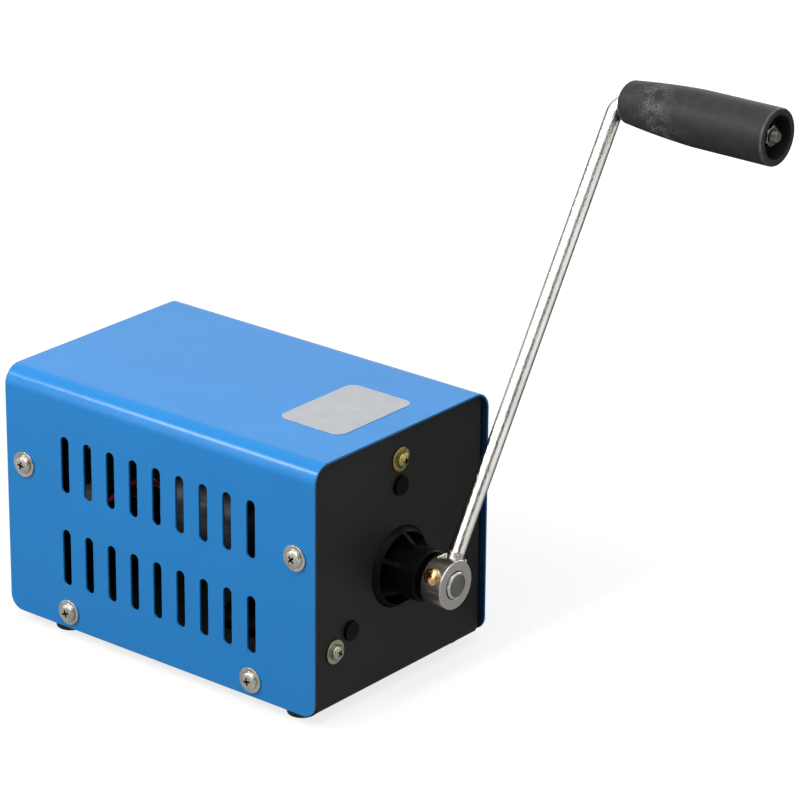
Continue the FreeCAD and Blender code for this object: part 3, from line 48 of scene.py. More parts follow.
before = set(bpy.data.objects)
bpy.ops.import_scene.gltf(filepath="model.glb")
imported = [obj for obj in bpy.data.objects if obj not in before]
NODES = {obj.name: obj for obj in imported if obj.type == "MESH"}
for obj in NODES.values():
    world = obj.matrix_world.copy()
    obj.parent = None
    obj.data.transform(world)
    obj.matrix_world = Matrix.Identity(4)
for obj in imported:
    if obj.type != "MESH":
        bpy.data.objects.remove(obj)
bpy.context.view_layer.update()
MM = 0.001

COVER_LOW, COVER_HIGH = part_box("cover_shell")
COLLAR_LOW, COLLAR_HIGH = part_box("crank_collar")
GRIP_LOW, GRIP_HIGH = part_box("grip")

PANEL_FRONT = -0.0719
REAR_OUTSIDE = 0.0719
OUTPUT_Z = 0.052
LUG_CIRCLE = 0.041
SPINDLE_RADIUS = 5.0 * MM
SHAFT_Z = (COLLAR_LOW.z + COLLAR_HIGH.z) / 2
ARM_Y = (COLLAR_LOW.y + COLLAR_HIGH.y) / 2
COLLAR_RADIUS = (COLLAR_HIGH.x - COLLAR_LOW.x) / 2
COLLAR_MIDDLE = Vector((0.0, ARM_Y, SHAFT_Z))
GRIP_X = (GRIP_LOW.x + GRIP_HIGH.x) / 2
GRIP_Z = (GRIP_LOW.z + GRIP_HIGH.z) / 2
STUD_START = GRIP_LOW.y + 6.1 * MM
GRIP_RADIUS = min(GRIP_HIGH.x - GRIP_LOW.x, GRIP_HIGH.z - GRIP_LOW.z) / 2
CRANK_ANGLE = math.atan2(GRIP_Z - SHAFT_Z, GRIP_X)
CRANK_THROW = math.hypot(GRIP_Z - SHAFT_Z, GRIP_X)
ALONG = Vector((0.0, 1.0, 0.0))
ARM_OUT = Vector((math.cos(CRANK_ANGLE), 0.0, math.sin(CRANK_ANGLE)))
SCREW_OUT = Vector((-math.sin(CRANK_ANGLE), 0.0, math.cos(CRANK_ANGLE)))
WHITE = (1.0, 1.0, 1.0, 1.0)
BLACK = (0.0, 0.0, 0.0, 1.0)


# ---------------------------------------------------------------- settings

def linear(code):
    """A hex sRGB colour as linear red, green, blue and alpha."""
    parts = [int(code[i:i + 2], 16) / 255 for i in (1, 3, 5)]
    return tuple(c / 12.92 if c <= 0.04045 else ((c + 0.055) / 1.055) ** 2.4 for c in parts) + (1.0,)


def length(name, description, default):
    """A length property, in metres, from its default in millimetres."""
    return FloatProperty(name=name, description=description, default=default * MM, min=0.0,
                         unit="LENGTH", subtype="DISTANCE", precision=5)


def colour(name, description, code):
    """A colour property, linear, from its hex sRGB code."""
    return FloatVectorProperty(name=name, description=description, default=linear(code), size=4,
                               min=0.0, max=1.0, subtype="COLOR")


def power(name, description, default):
    """A lamp's power, in watts."""
    return FloatProperty(name=name, description=description, default=default, min=0.0, unit="POWER")


class CoverSettings(bpy.types.PropertyGroup):
    """Sizes and colour of the vented cover."""
    sheet: length("Sheet", "Thickness of the cover's sheet", 1.0)
    bend: length("Bend", "Outer radius of the two long bends", 7.0)
    corner: length("Flap corner", "Radius of the flaps' lower corners", 5.5)
    slot_width: length("Vent width", "Width of one vent", 4.0)
    slot_length: length("Vent length", "Length of one vent", 22.0)
    slot_pitch: length("Vent pitch", "Distance from one vent to the next", 11.1)
    slots: IntProperty(name="Vents", description="Vents in one row", default=9, min=2, max=20)
    lower_row: length("Lower row", "Height of the lower vents' middle", 31.9)
    upper_row: length("Upper row", "Height of the upper vents' middle", 68.2)
    paint: colour("Paint", "Colour of the powder coat", "#218EDD")


class HardwareSettings(bpy.types.PropertyGroup):
    """Sizes of the screws and washers."""
    cover_flange: length("Cover screw flange", "Radius of a cover screw's flange", 4.85)
    cover_dome: length("Cover screw dome", "Radius of a cover screw's dome", 3.5)
    cover_height: length("Cover screw height", "Height of a cover screw's head", 2.3)
    pan_radius: length("Pan head radius", "Radius of the smaller screws' heads", 2.9)
    pan_height: length("Pan head height", "Height of the smaller screws' heads", 2.1)
    washer_radius: length("Washer radius", "Radius of the flat washers", 4.5)
    washer_height: length("Washer height", "Thickness of the flat washers", 0.8)
    seed: IntProperty(name="Seed", description="Picks how far each screw is turned", default=7)


class CrankSettings(bpy.types.PropertyGroup):
    """Sizes and colour of the crank and its grip."""
    rod_radius: length("Rod radius", "Radius of the bent rod", 3.0)
    rod_bend: length("Rod bend", "Radius of the bend at the grip", 5.5)
    foot_width: length("Foot width", "Width of the rod's foot along the collar", 6.2)
    foot_thickness: length("Foot thickness", "Thickness of the rod's foot", 5.4)
    weld_height: length("Weld height", "Height of the weld bead round the rod's foot", 2.5)
    grip_colour: colour("Grip", "Colour of the grip", "#1F1F1E")


class StudioSettings(bpy.types.PropertyGroup):
    """Light of the studio."""
    key_power: power("Key light", "Power of the large soft light overhead", 3.6)
    side_power: power("Side light", "Power of the near soft light over the left side", 1.6)
    rim_power: power("Rim light", "Power of the small light behind, which draws the bends", 3.0)
    fill_power: power("Fill light", "Power of the wide soft light on the right and back", 2.4)
    sky: FloatProperty(name="Room light", description="Strength of the light from all sides", default=0.27,
                       min=0.0, max=1.0, subtype="FACTOR")
    floor_colour: colour("Floor", "Colour of the floor", "#8E8E8E")


SETTINGS = {"generator_cover": CoverSettings, "generator_hardware": HardwareSettings,
            "generator_crank": CrankSettings, "generator_studio": StudioSettings}


# ---------------------------------------------------------------- nodes

def feed(tree, socket, value):
    """Sets or links an input: a node stands for its first output in use, and #text for a colour."""
    if isinstance(value, bpy.types.Node):
        value = next(output for output in value.outputs if output.enabled)
    if isinstance(value, bpy.types.NodeSocket):
        tree.links.new(value, socket)
    else:
        socket.default_value = linear(value) if str(value).startswith("#") else value


def add(tree, kind, inputs=None, **settings):
    """Adds a node, sets its properties, and feeds its inputs by name or number."""
    node = tree.nodes.new(kind)
    for name, value in settings.items():
        setattr(node, name, value)
    for key, value in (inputs or {}).items():
        for one in value if isinstance(value, list) else [value]:
            feed(tree, node.inputs[key], one)
    return node


def number(tree, operation, *values):
    """The result of a sum on numbers, sockets or nodes."""
    return add(tree, "ShaderNodeMath", dict(enumerate(values)), operation=operation)


def scaled(base, factor, more=0.0):
    """A colour made darker or lighter."""
    base = linear(base) if isinstance(base, str) else base
    return tuple(min(1.0, c * factor + more) for c in base[:3]) + (1.0,)


class Finish:
    """A material in the making: its nodes, and the place on the piece that its patterns read."""

    def __init__(self, name, base, metallic, roughness, constants=None):
        self.material = bpy.data.materials.new(name)
        self.material.use_nodes = True
        self.material.diffuse_color = scaled(base, 1.0)
        self.tree = self.material.node_tree
        self.tree.nodes.clear()
        self.add = partial(add, self.tree)
        self.number = partial(number, self.tree)
        inputs = {"Base Color": base, "Metallic": metallic, "Roughness": roughness}
        self.shader = self.add("ShaderNodeBsdfPrincipled", {**inputs, **(constants or {})})
        self.add("ShaderNodeOutputMaterial", {"Surface": self.shader})
        self.where = self.add("ShaderNodeTexCoord").outputs["Object"]

    def axes(self):
        """The place's x, y and z."""
        return self.add("ShaderNodeSeparateXYZ", {"Vector": self.where}).outputs

    def off_axis(self, x, z):
        """How far the place is from the line along Y through x and z."""
        parts = self.axes()
        off_x = self.number("SUBTRACT", parts["X"], x)
        off_z = self.number("SUBTRACT", parts["Z"], z)
        square = self.number("MULTIPLY_ADD", off_z, off_z, self.number("MULTIPLY", off_x, off_x))
        return self.number("SQRT", square)

    def facing_rings(self, pitch):
        """The place's distance from the shaft, and waves from 0 to 1 round it, pitch metres apart."""
        out = self.off_axis(0.0, SHAFT_Z)
        wave = self.number("SINE", self.number("MULTIPLY", out, 2 * math.pi / pitch))
        return out, self.add("ShaderNodeMapRange", {"Value": wave, "From Min": -1.0})

    def patches(self, size, low=0.0, high=1.0, longer=(1.0, 1.0, 1.0), detail=3.0, edge=0.18, turn=0.0):
        """A random value from low to high, in patches of the given size in metres.

        The patches may be longer along some axes, and turned about Y.
        """
        spot = self.add("ShaderNodeMapping", {"Vector": self.where, "Rotation": (0.0, turn, 0.0),
                                              "Scale": longer}, vector_type="TEXTURE")
        noise = self.add("ShaderNodeTexNoise", {"Vector": spot, "Scale": 1.0 / size, "Detail": detail,
                                                "Roughness": 0.6})
        return self.add("ShaderNodeMapRange", {"Value": noise, "From Min": 0.5 - edge, "From Max": 0.5 + edge,
                                               "To Min": low, "To Max": high})

    def tint(self, factor, first, second):
        """Colours the surface between two colours by a factor, and returns the mix."""
        mixed = self.add("ShaderNodeMix", {0: factor, 6: first, 7: second}, data_type="RGBA")
        feed(self.tree, self.shader.inputs["Base Color"], mixed)
        return mixed

    def gloss(self, roughness):
        """Gives the surface its roughness."""
        feed(self.tree, self.shader.inputs["Roughness"], roughness)

    def relief(self, heights, depth):
        """Raises the surface by heights from 0 to 1, the tallest depth metres high."""
        bump = self.add("ShaderNodeBump", {"Strength": 1.0, "Distance": depth, "Height": heights})
        feed(self.tree, self.shader.inputs["Normal"], bump)


# ---------------------------------------------------------------- materials

def powder_coat(name, base, roughness, shine, inside=0.0):
    """Satin polyester powder coat on sheet steel: even colour, soft shine and a fine orange peel.

    The peel is about 0.6 mm from hill to hill, drawn at 1.1 mm so that it shows.
    """
    made = Finish(name, base, 0.0, roughness, {"IOR": 1.5, "Specular IOR Level": shine})
    even = made.tint(made.patches(0.03), base, scaled(base, 0.95))
    if inside:
        # the sheet's inner face is painted far darker, as painted shade inside the cover
        shade_margin = 0.7 * MM
        parts, num = made.axes(), made.number
        beyond = num("MAXIMUM", num("SUBTRACT", num("ABSOLUTE", parts["X"]), COVER_HIGH.x - inside), 0.0)
        over = num("MAXIMUM", num("SUBTRACT", parts["Z"], COVER_HIGH.z - inside), 0.0)
        out = num("SQRT", num("MULTIPLY_ADD", over, over, num("MULTIPLY", beyond, beyond)))
        made.tint(num("LESS_THAN", out, inside - shade_margin), even, scaled(base, 0.12, 0.004))
    made.gloss(made.patches(0.012, roughness - 0.02, roughness + 0.03, edge=0.3))
    made.relief(made.patches(0.0011, detail=0.0, edge=0.5), 0.000008)
    return made.material


def plated(name, code, dark_code, roughness, smear=0.012):
    """Bright plating on small hardware: clear reflections with faint smears and tumbling marks."""
    made = Finish(name, code, 1.0, roughness)
    made.tint(made.patches(smear), code, dark_code)
    made.gloss(made.patches(smear / 3, roughness * 0.7, roughness * 1.5))
    made.relief(made.patches(0.0012, detail=2.0, edge=0.3), 0.000004)
    return made.material


def drawn_rod():
    """Bright nickel over cold-drawn rod: a clear shine, broken by small pits drawn out along the rod.

    The pits are about 0.15 mm wide, drawn at 0.5 mm so that they show.
    """
    made = Finish("nickel_on_drawn_rod", "#E6E3DE", 1.0, 0.1)
    # the thread and the cut end in the grip are bare, greyer steel
    bare = made.number("LESS_THAN", made.axes()["Y"], STUD_START + 0.1 * MM)
    clear = made.tint(made.patches(0.02), "#F1EFEB", "#DDD9D3")
    made.tint(bare, clear, "#77746F")
    made.gloss(made.number("MULTIPLY_ADD", bare, 0.22, made.patches(0.004, 0.06, 0.13)))
    pits = made.patches(0.0005, longer=(3.0, 1.0, 1.0), detail=4.0, edge=0.16, turn=-CRANK_ANGLE)
    made.relief(pits, 0.00004)
    return made.material


def faced_collar():
    """Nickel on a turned collar: clear on its side, and greyer on its end as painted shade, where the
    facing tool left rings 0.3 mm apart."""
    made = Finish("nickel_on_faced_collar", "#C4C0B8", 1.0, 0.2)
    end = made.number("LESS_THAN", made.axes()["Y"], COLLAR_LOW.y + 0.00015)
    clear = made.tint(made.patches(0.006), "#D2CDC4", "#ACA69A")
    _, shades = made.facing_rings(0.0003)
    # the end's greyer colours are painted shade; the rings in them are the facing tool's marks
    face = made.add("ShaderNodeMix", {0: shades, 6: "#B4B2AD", 7: "#A2A09C"}, data_type="RGBA")
    made.tint(end, clear, face)
    made.gloss(made.add("ShaderNodeMapRange", {"Value": end, "To Min": 0.235, "To Max": 0.36}))
    made.relief(made.number("MULTIPLY", shades, end), 0.000004)
    return made.material


def passivated(name, code, dark_code, pale_code):
    """Yellow-passivated zinc: a patchy olive film, paler low on the panel."""
    made = Finish(name, code, 1.0, 0.3)
    film = made.tint(made.patches(0.0025), code, dark_code)
    # the film turns paler towards the bottom of the panel
    paled = made.add("ShaderNodeMapRange", {"Value": made.axes()["Z"], "From Min": 0.05, "From Max": 0.025,
                                           "To Max": 0.8}, interpolation_type="SMOOTHSTEP")
    made.tint(paled, film, pale_code)
    made.gloss(made.patches(0.002, 0.2, 0.42))
    made.relief(made.patches(0.0012, detail=2.0, edge=0.3), 0.000004)
    return made.material


def turned_metal(name, code, dark_code, roughness):
    """Metal as it leaves the lathe: fine rings round its axis, 0.25 mm apart, and a satin shine."""
    made = Finish(name, code, 1.0, roughness)
    rings = made.add("ShaderNodeTexWave", {"Vector": made.where, "Scale": 640.0, "Distortion": 1.5,
                                           "Detail": 2.0, "Detail Scale": 30.0},
                     wave_type="BANDS", bands_direction="Y")
    made.tint(made.patches(0.004), code, dark_code)
    made.gloss(made.patches(0.003, roughness - 0.02, roughness + 0.03))
    made.relief(rings.outputs["Fac"], 0.000004)
    return made.material


def moulded_plastic(name, base, roughness, shine=0.5):
    """Injection-moulded plastic: even colour, slight flow marks and a fine spark-eroded grain."""
    made = Finish(name, base, 0.0, roughness, {"IOR": 1.48, "Specular IOR Level": shine})
    made.tint(made.patches(0.015), base, scaled(base, 1.12, 0.003))
    made.gloss(made.patches(0.006, roughness - 0.05, roughness + 0.07))
    made.relief(made.patches(0.0008, detail=2.0, edge=0.3), 0.00001)
    return made.material


def scuffed_grip(base):
    """A turned phenolic grip: matt, finely pitted black with pale scuffs where hands and benches rub.

    The scuffs lie mostly near its inner third, and its outer rim carries a thin pale line, a painted
    highlight.
    """
    made = Finish("turned_phenolic_grip", base, 0.0, 0.55, {"IOR": 1.5, "Specular IOR Level": 0.28})
    parts, num = made.axes(), made.number
    # a slanting belt of scuffs round the inner third, and a few more towards the end
    slant = num("MULTIPLY_ADD", num("SUBTRACT", parts["Z"], GRIP_Z), 0.45, GRIP_HIGH.y - 0.0178)
    belt = num("DIVIDE", num("SUBTRACT", parts["Y"], slant), 0.0072)
    near = num("POWER", 2.0, num("MULTIPLY", num("MULTIPLY", belt, belt), -1.6))
    specks = made.patches(0.0006, detail=6.0, edge=0.07)
    broad = made.patches(0.005, detail=4.0, edge=0.1)
    rubbed = num("MULTIPLY", num("MULTIPLY", specks, broad), num("MULTIPLY_ADD", near, 0.88, 0.1))
    # the pale rim: a painted highlight along the outer end's edge
    soft = partial(made.add, "ShaderNodeMapRange", interpolation_type="SMOOTHSTEP")
    outer = soft({"Value": made.off_axis(GRIP_X, GRIP_Z),
                  "From Min": GRIP_RADIUS - 0.0009, "From Max": GRIP_RADIUS - 0.0003})
    ending = soft({"Value": parts["Y"], "From Min": GRIP_LOW.y + 0.0012, "From Max": GRIP_LOW.y + 0.0005})
    paled = num("MULTIPLY", num("MULTIPLY", outer, ending), made.patches(0.002, 0.06, 0.34, detail=4.0))
    grain = made.patches(0.00045, detail=4.0, edge=0.2)
    made.tint(num("MULTIPLY_ADD", rubbed, 0.42, num("MULTIPLY_ADD", grain, 0.02, paled)), base, "#B3B0AA")
    made.gloss(made.add("ShaderNodeMapRange", {"Value": rubbed, "To Min": 0.5, "To Max": 0.8}))
    made.relief(made.patches(0.0007, edge=0.25), 0.00003)
    return made.material


def label_film():
    """Silver polyester label film: satin, very fine brushing along its length, faint handling marks."""
    made = Finish("silver_polyester_film", "#C0C3C7", 0.25, 0.4, {"Specular IOR Level": 0.35})
    lines = made.patches(0.0006, longer=(12.0, 1.0, 1.0), edge=0.25)
    marks = made.patches(0.007, detail=4.0)
    both = made.number("MULTIPLY_ADD", marks, 0.4, made.number("MULTIPLY", lines, 0.35))
    made.tint(both, "#C0C3C7", "#AAADB2")
    made.gloss(made.patches(0.004, 0.32, 0.46))
    made.relief(lines, 0.0000015)
    return made.material


def drawn_can():
    """A deep-drawn, zinc-plated motor can: grey spangle, drawing lines along it and dull spots."""
    made = Finish("zinc_plated_drawn_can", "#A9ABAC", 0.85, 0.42)
    spangle = made.add("ShaderNodeTexVoronoi", {"Vector": made.where, "Scale": 260.0})
    lines = made.patches(0.0012, longer=(1.0, 16.0, 1.0))
    made.tint(made.number("MULTIPLY", spangle.outputs["Distance"], lines), "#85898D", "#55595E")
    made.gloss(made.patches(0.005, 0.34, 0.55))
    made.relief(lines, 0.000006)
    return made.material


def laminated_core():
    """A stack of punched 0.5 mm silicon-steel sheets, which shows as fine dark lines round the core."""
    made = Finish("laminated_silicon_steel", "#5A5C60", 0.8, 0.5)
    sheets = made.add("ShaderNodeTexWave", {"Vector": made.where, "Scale": 318.0},
                      wave_type="BANDS", bands_direction="Y", wave_profile="SAW").outputs["Fac"]
    made.tint(sheets, "#6B6D70", "#2C2D30")
    made.relief(sheets, 0.00003)
    return made.material


def wound_wire():
    """Enamelled copper wire in close turns: a warm shine with a dark line every 0.4 mm."""
    made = Finish("enamelled_copper_wire", "#A85A32", 0.9, 0.3, {"Coat Weight": 0.6})
    turns = made.add("ShaderNodeTexWave", {"Vector": made.where, "Scale": 400.0},
                     wave_type="BANDS", bands_direction="DIAGONAL").outputs["Fac"]
    made.tint(turns, "#6E3216", "#C0703E")
    made.relief(turns, 0.00008)
    return made.material


def turned_spindle():
    """The spindle's ground steel: satin rings on its end, and a chamfer painted pale as a painted highlight.
    """
    made = Finish("turned_spindle_steel", "#6F6E6B", 1.0, 0.34)
    out, shades = made.facing_rings(0.00035)
    steel = made.tint(shades, "#73726F", "#6A6966")
    # the chamfer's pale colour is a painted highlight
    edge = made.number("MULTIPLY", made.number("GREATER_THAN", out, SPINDLE_RADIUS - 0.75 * MM),
                       made.number("LESS_THAN", made.axes()["Y"], COLLAR_LOW.y - 0.0001))
    made.tint(edge, steel, "#C9C7C2")
    made.gloss(made.number("MULTIPLY_ADD", edge, -0.12, made.patches(0.003, 0.32, 0.37)))
    made.relief(shades, 0.000003)
    return made.material


def pressed_powder(name, code, dark_code, metallic, roughness):
    """Metal or mineral powder pressed and sintered: dull, with fine dark pores."""
    made = Finish(name, code, metallic, roughness)
    pores = made.patches(0.0006, detail=4.0, edge=0.1)
    made.tint(pores, code, dark_code)
    made.relief(pores, -0.00002)
    return made.material


def circuit_board():
    """Glass-epoxy laminate under green solder mask: glossy, with copper tracks that show as lighter lines."""
    made = Finish("solder_masked_laminate", "#14502B", 0.0, 0.28, {"IOR": 1.55, "Coat Weight": 0.4})
    flat = made.add("ShaderNodeMapping", {"Vector": made.where, "Rotation": (math.pi / 2, 0.0, 0.0)})
    tracks = made.add("ShaderNodeTexBrick", {
        "Vector": flat, "Scale": 1.0, "Mortar Size": 0.0004, "Mortar Smooth": 0.1, "Brick Width": 0.0071,
        "Row Height": 0.0034}, offset=0.37).outputs["Fac"]
    made.tint(tracks, "#0C3A20", "#1A5631")
    made.relief(tracks, 0.00003)
    return made.material


def extruded_vinyl(name, code):
    """Extruded PVC insulation: smooth and slightly waxy, with faint ripples along the wire."""
    made = Finish(name, code, 0.0, 0.36, {"IOR": 1.53, "Coat Weight": 0.15})
    made.tint(made.patches(0.004), code, scaled(code, 0.7))
    made.relief(made.patches(0.0009), 0.00002)
    return made.material


def vulcanised_rubber():
    """Moulded rubber: nearly black, matt and dusty, with a fine grain."""
    made = Finish("moulded_black_rubber", "#1B1B1B", 0.0, 0.75, {"IOR": 1.5})
    made.tint(made.patches(0.003, detail=5.0), "#161616", "#2B2A29")
    made.relief(made.patches(0.0005), 0.00002)
    return made.material


def make_materials(cover, crank):
    """Every finish of the generator, by the record's slot name."""
    return {
        "blue_powder_coat": powder_coat("blue_polyester_powder_coat", tuple(cover.paint), 0.24, 0.3,
                                        cover.bend),
        "black_powder_coat": powder_coat("black_polyester_powder_coat", "#2B2C2B", 0.46, 0.16),
        "nickel_screws": plated("nickel_plated_screws", "#CFCBC1", "#ADA79B", 0.17, 0.004),
        "yellow_zinc": passivated("yellow_passivated_zinc", "#B2A768", "#80774A", "#A7A69B"),
        "grey_zinc": plated("clear_passivated_zinc", "#AFACA2", "#85827A", 0.28, 0.003),
        "spindle": turned_spindle(),
        "nut_zinc": plated("tumbled_zinc_nut", "#92918E", "#595753", 0.2, 0.0015),
        "steel": turned_metal("turned_carbon_steel", "#73726F", "#696865", 0.32),
        "nickel": drawn_rod(),
        "nickel_collar": faced_collar(),
        "weld_nickel": plated("nickel_over_weld_bead", "#C2BEB7", "#6B665F", 0.18, 0.0012),
        "copper_screw": plated("copper_flashed_steel", "#E6C08A", "#B3824A", 0.2, 0.0018),
        "washer_tin": plated("bright_spring_washer", "#DDD5BF", "#A69A78", 0.18, 0.002),
        "black_acetal": moulded_plastic("moulded_black_acetal", "#060607", 0.38, shine=0.06),
        "grip_plastic": scuffed_grip(tuple(crank.grip_colour)),
        "gear_acetal": moulded_plastic("moulded_natural_acetal", "#E2DFD4", 0.4),
        "bronze": pressed_powder("sintered_bronze", "#A9814A", "#6B4D29", 0.9, 0.45),
        "label_film": label_film(),
        "black_rubber": vulcanised_rubber(),
        "can_steel": drawn_can(),
        "magnet_ferrite": pressed_powder("sintered_ferrite", "#3A3A3C", "#242425", 0.2, 0.6),
        "core_steel": laminated_core(),
        "copper": wound_wire(),
        "carbon": pressed_powder("pressed_carbon_brush", "#2A2A2B", "#151515", 0.3, 0.5),
        "brass": turned_metal("rolled_brass", "#B99A4F", "#8D7132", 0.3),
        "board_laminate": circuit_board(),
        "socket_steel": plated("tin_plated_steel", "#C4C5C4", "#9FA09F", 0.24, 0.003),
        "socket_black": moulded_plastic("moulded_black_nylon", "#141414", 0.32),
        "white_nylon": moulded_plastic("moulded_white_nylon", "#E4E1D6", 0.42),
        "black_sleeve": extruded_vinyl("shrunk_black_sleeve", "#17171C"),
        "lead_red": extruded_vinyl("red_pvc_insulation", "#B4161A"),
        "lead_black": extruded_vinyl("black_pvc_insulation", "#18181A"),
    }


FINISHES = {}


# ---------------------------------------------------------------- mesh helpers

def new_object(name, mesh):
    """A mesh object at the origin, in the scene."""
    made = bpy.data.objects.new(name, mesh)
    bpy.context.scene.collection.objects.link(made)
    return made


def from_bmesh(name, shape, recalculate=False):
    """An object from a bmesh, which is freed; its faces may first be turned outwards."""
    if recalculate:
        bmesh.ops.recalc_face_normals(shape, faces=shape.faces)
    mesh = bpy.data.meshes.new(name)
    shape.to_mesh(mesh)
    shape.free()
    return new_object(name, mesh)


def plain(made, name):
    """The object with its modifiers made real, as a new plain mesh object."""
    view = bpy.context.evaluated_depsgraph_get()
    view.update()
    mesh = bpy.data.meshes.new_from_object(made.evaluated_get(view))
    mesh.name = name
    old = made.data
    bpy.data.objects.remove(made)
    if old.users == 0:
        bpy.data.meshes.remove(old)
    return new_object(name, mesh)


def modified(made, name, kind, **settings):
    """Adds a modifier and sets its properties."""
    modifier = made.modifiers.new(name, kind)
    for key, value in settings.items():
        setattr(modifier, key, value)


def softened(made, width=0.0, segments=2, angle=35.0, sheet=0.0):
    """Rounds the sharp edges a little, as real ones are, and smooths the shading of the rest."""
    name = made.name
    made.name = name + "_raw"
    if sheet:
        modified(made, "wall", "SOLIDIFY", thickness=sheet, offset=-1.0, use_even_offset=True)
    if width:
        modified(made, "edges", "BEVEL", width=width, segments=segments, limit_method="ANGLE",
                 angle_limit=math.radians(angle), use_clamp_overlap=True)
    done = plain(made, name)
    done.data.polygons.foreach_set("use_smooth", [True] * len(done.data.polygons))
    done.data.set_sharp_from_angle(angle=math.radians(angle + 8.0))
    modified(done, "shading", "WEIGHTED_NORMAL", keep_sharp=True, weight=80)
    return plain(done, name)


def copied(node, name):
    """A merged copy of a CAD node's mesh, with its flat faces joined."""
    shape = bmesh.new()
    shape.from_mesh(NODES[node].data)
    bmesh.ops.remove_doubles(shape, verts=shape.verts, dist=2e-6)
    bmesh.ops.dissolve_limit(shape, angle_limit=math.radians(0.6), use_dissolve_boundaries=False,
                             verts=shape.verts, edges=shape.edges, delimit=set())
    return from_bmesh(name, shape)


def circle_turns(count):
    """The angles of points spaced evenly round a circle."""
    return [2 * math.pi * i / count for i in range(count)]


def skinned(shape, rows):
    """Joins rows of vertices by faces; each row is a ring or a single point."""
    for low, high in zip(rows, rows[1:]):
        count = max(len(low), len(high))
        for i in range(count):
            j = (i + 1) % count
            corners = (low[i % len(low)], high[i % len(high)], high[j % len(high)], low[j % len(low)])
            shape.faces.new(list(dict.fromkeys(corners)))


def turned(name, profile, middle, segments=96):
    """A turned piece: (radius, y) points from one end to the other, spun about a line along Y."""
    x, z = middle
    shape = bmesh.new()
    rows = []
    for radius, y in profile:
        turns = circle_turns(segments) if radius > 1e-7 else [0.0]
        spots = [(x + radius * math.cos(turn), y, z + radius * math.sin(turn)) for turn in turns]
        rows.append([shape.verts.new(spot) for spot in spots])
    skinned(shape, rows)
    bmesh.ops.remove_doubles(shape, verts=shape.verts, dist=1e-7)
    return from_bmesh(name, shape, recalculate=True)


def rounded_profile(points, radius, steps=5):
    """A profile whose inner corners are rounded; points is a list of (radius, y)."""
    done = [points[0]]
    for before, corner, after in zip(points, points[1:], points[2:]):
        corner = Vector(corner)
        a, b = Vector(before) - corner, Vector(after) - corner
        reach = min(radius, a.length * 0.45, b.length * 0.45)
        first, last = corner + a.normalized() * reach, corner + b.normalized() * reach
        for i in range(steps + 1):
            t = i / steps
            point = first * (1 - t) ** 2 + corner * 2 * t * (1 - t) + last * t ** 2
            done.append((point.x, point.y))
    return done + [points[-1]]


def finished(made, body, slot, nodes, finish=""):
    """Gives a piece its finish, sets it on its body and hides the CAD nodes it stands for."""
    made.data.materials.clear()
    made.data.materials.append(FINISHES[finish or slot])
    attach(made, body)
    if nodes:
        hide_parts(*nodes)
    return made


def dressed(node, name, body, slot, width, segments=2):
    """A piece made of a CAD node's own mesh, its edges eased by a width in millimetres."""
    return finished(softened(copied(node, name), width * MM, segments, 40.0), body, slot, [node])


# ---------------------------------------------------------------- geometry node trees

def start_tree(name, floats, integers=()):
    """A geometry node tree with named inputs, and the sockets that give them."""
    tree = bpy.data.node_groups.new(name, "GeometryNodeTree")
    inputs = [("Places", "Geometry")] + [(label, "Float") for label in floats]
    for label, kind in inputs + [(label, "Int") for label in integers] + [("Material", "Material")]:
        tree.interface.new_socket(name=label, in_out="INPUT", socket_type="NodeSocket" + kind)
    tree.interface.new_socket(name="Geometry", in_out="OUTPUT", socket_type="NodeSocketGeometry")
    return tree, add(tree, "NodeGroupInput").outputs


def end_tree(tree, given, geometry):
    """Makes the instances real, gives them their material and ends the tree."""
    real = add(tree, "GeometryNodeRealizeInstances", {"Geometry": geometry})
    done = add(tree, "GeometryNodeSetMaterial", {"Geometry": real, "Material": given["Material"]})
    add(tree, "NodeGroupOutput", {0: done})
    return tree


def placed(tree, given, piece, spin):
    """Ends the tree with a piece on every point, its Z along the point's facing, turned by a spin."""
    facing = add(tree, "GeometryNodeInputNamedAttribute", {"Name": "facing"}, data_type="FLOAT_VECTOR")
    aim = add(tree, "FunctionNodeAlignRotationToVector", {"Vector": facing}, axis="Z")
    turn = add(tree, "FunctionNodeAxisAngleToRotation", {"Axis": (0.0, 0.0, 1.0), "Angle": spin})
    both = add(tree, "FunctionNodeRotateRotation", {"Rotation": aim, "Rotate By": turn},
               rotation_space="LOCAL")
    on_points = {"Points": given["Places"], "Instance": piece, "Rotation": both}
    return end_tree(tree, given, add(tree, "GeometryNodeInstanceOnPoints", on_points))


def here(tree):
    """The x, y and z of the point at hand."""
    return add(tree, "ShaderNodeSeparateXYZ", {"Vector": add(tree, "GeometryNodeInputPosition")}).outputs


def moved(tree, geometry, y=0.0, z=0.0, turn=0.0):
    """The geometry, turned about Z and moved along Y and Z."""
    step = add(tree, "ShaderNodeCombineXYZ", {"Y": y, "Z": z})
    return add(tree, "GeometryNodeTransform", {"Geometry": geometry, "Translation": step,
                                               "Rotation": (0.0, 0.0, turn)})


def reshaped(tree, geometry, x, y, z):
    """The geometry, with each of its points set to a new place."""
    place = add(tree, "ShaderNodeCombineXYZ", {"X": x, "Y": y, "Z": z})
    return add(tree, "GeometryNodeSetPosition", {"Geometry": geometry, "Position": place})


def rounded_outline(tree, width, height, radius, count=3):
    """A rectangle with rounded corners, as a curve."""
    outline = add(tree, "GeometryNodeCurvePrimitiveQuadrilateral", {"Width": width, "Height": height},
                  mode="RECTANGLE")
    return add(tree, "GeometryNodeFilletCurve", {"Curve": outline, "Count": count, "Radius": radius,
                                                 "Limit Radius": True}, mode="POLY")


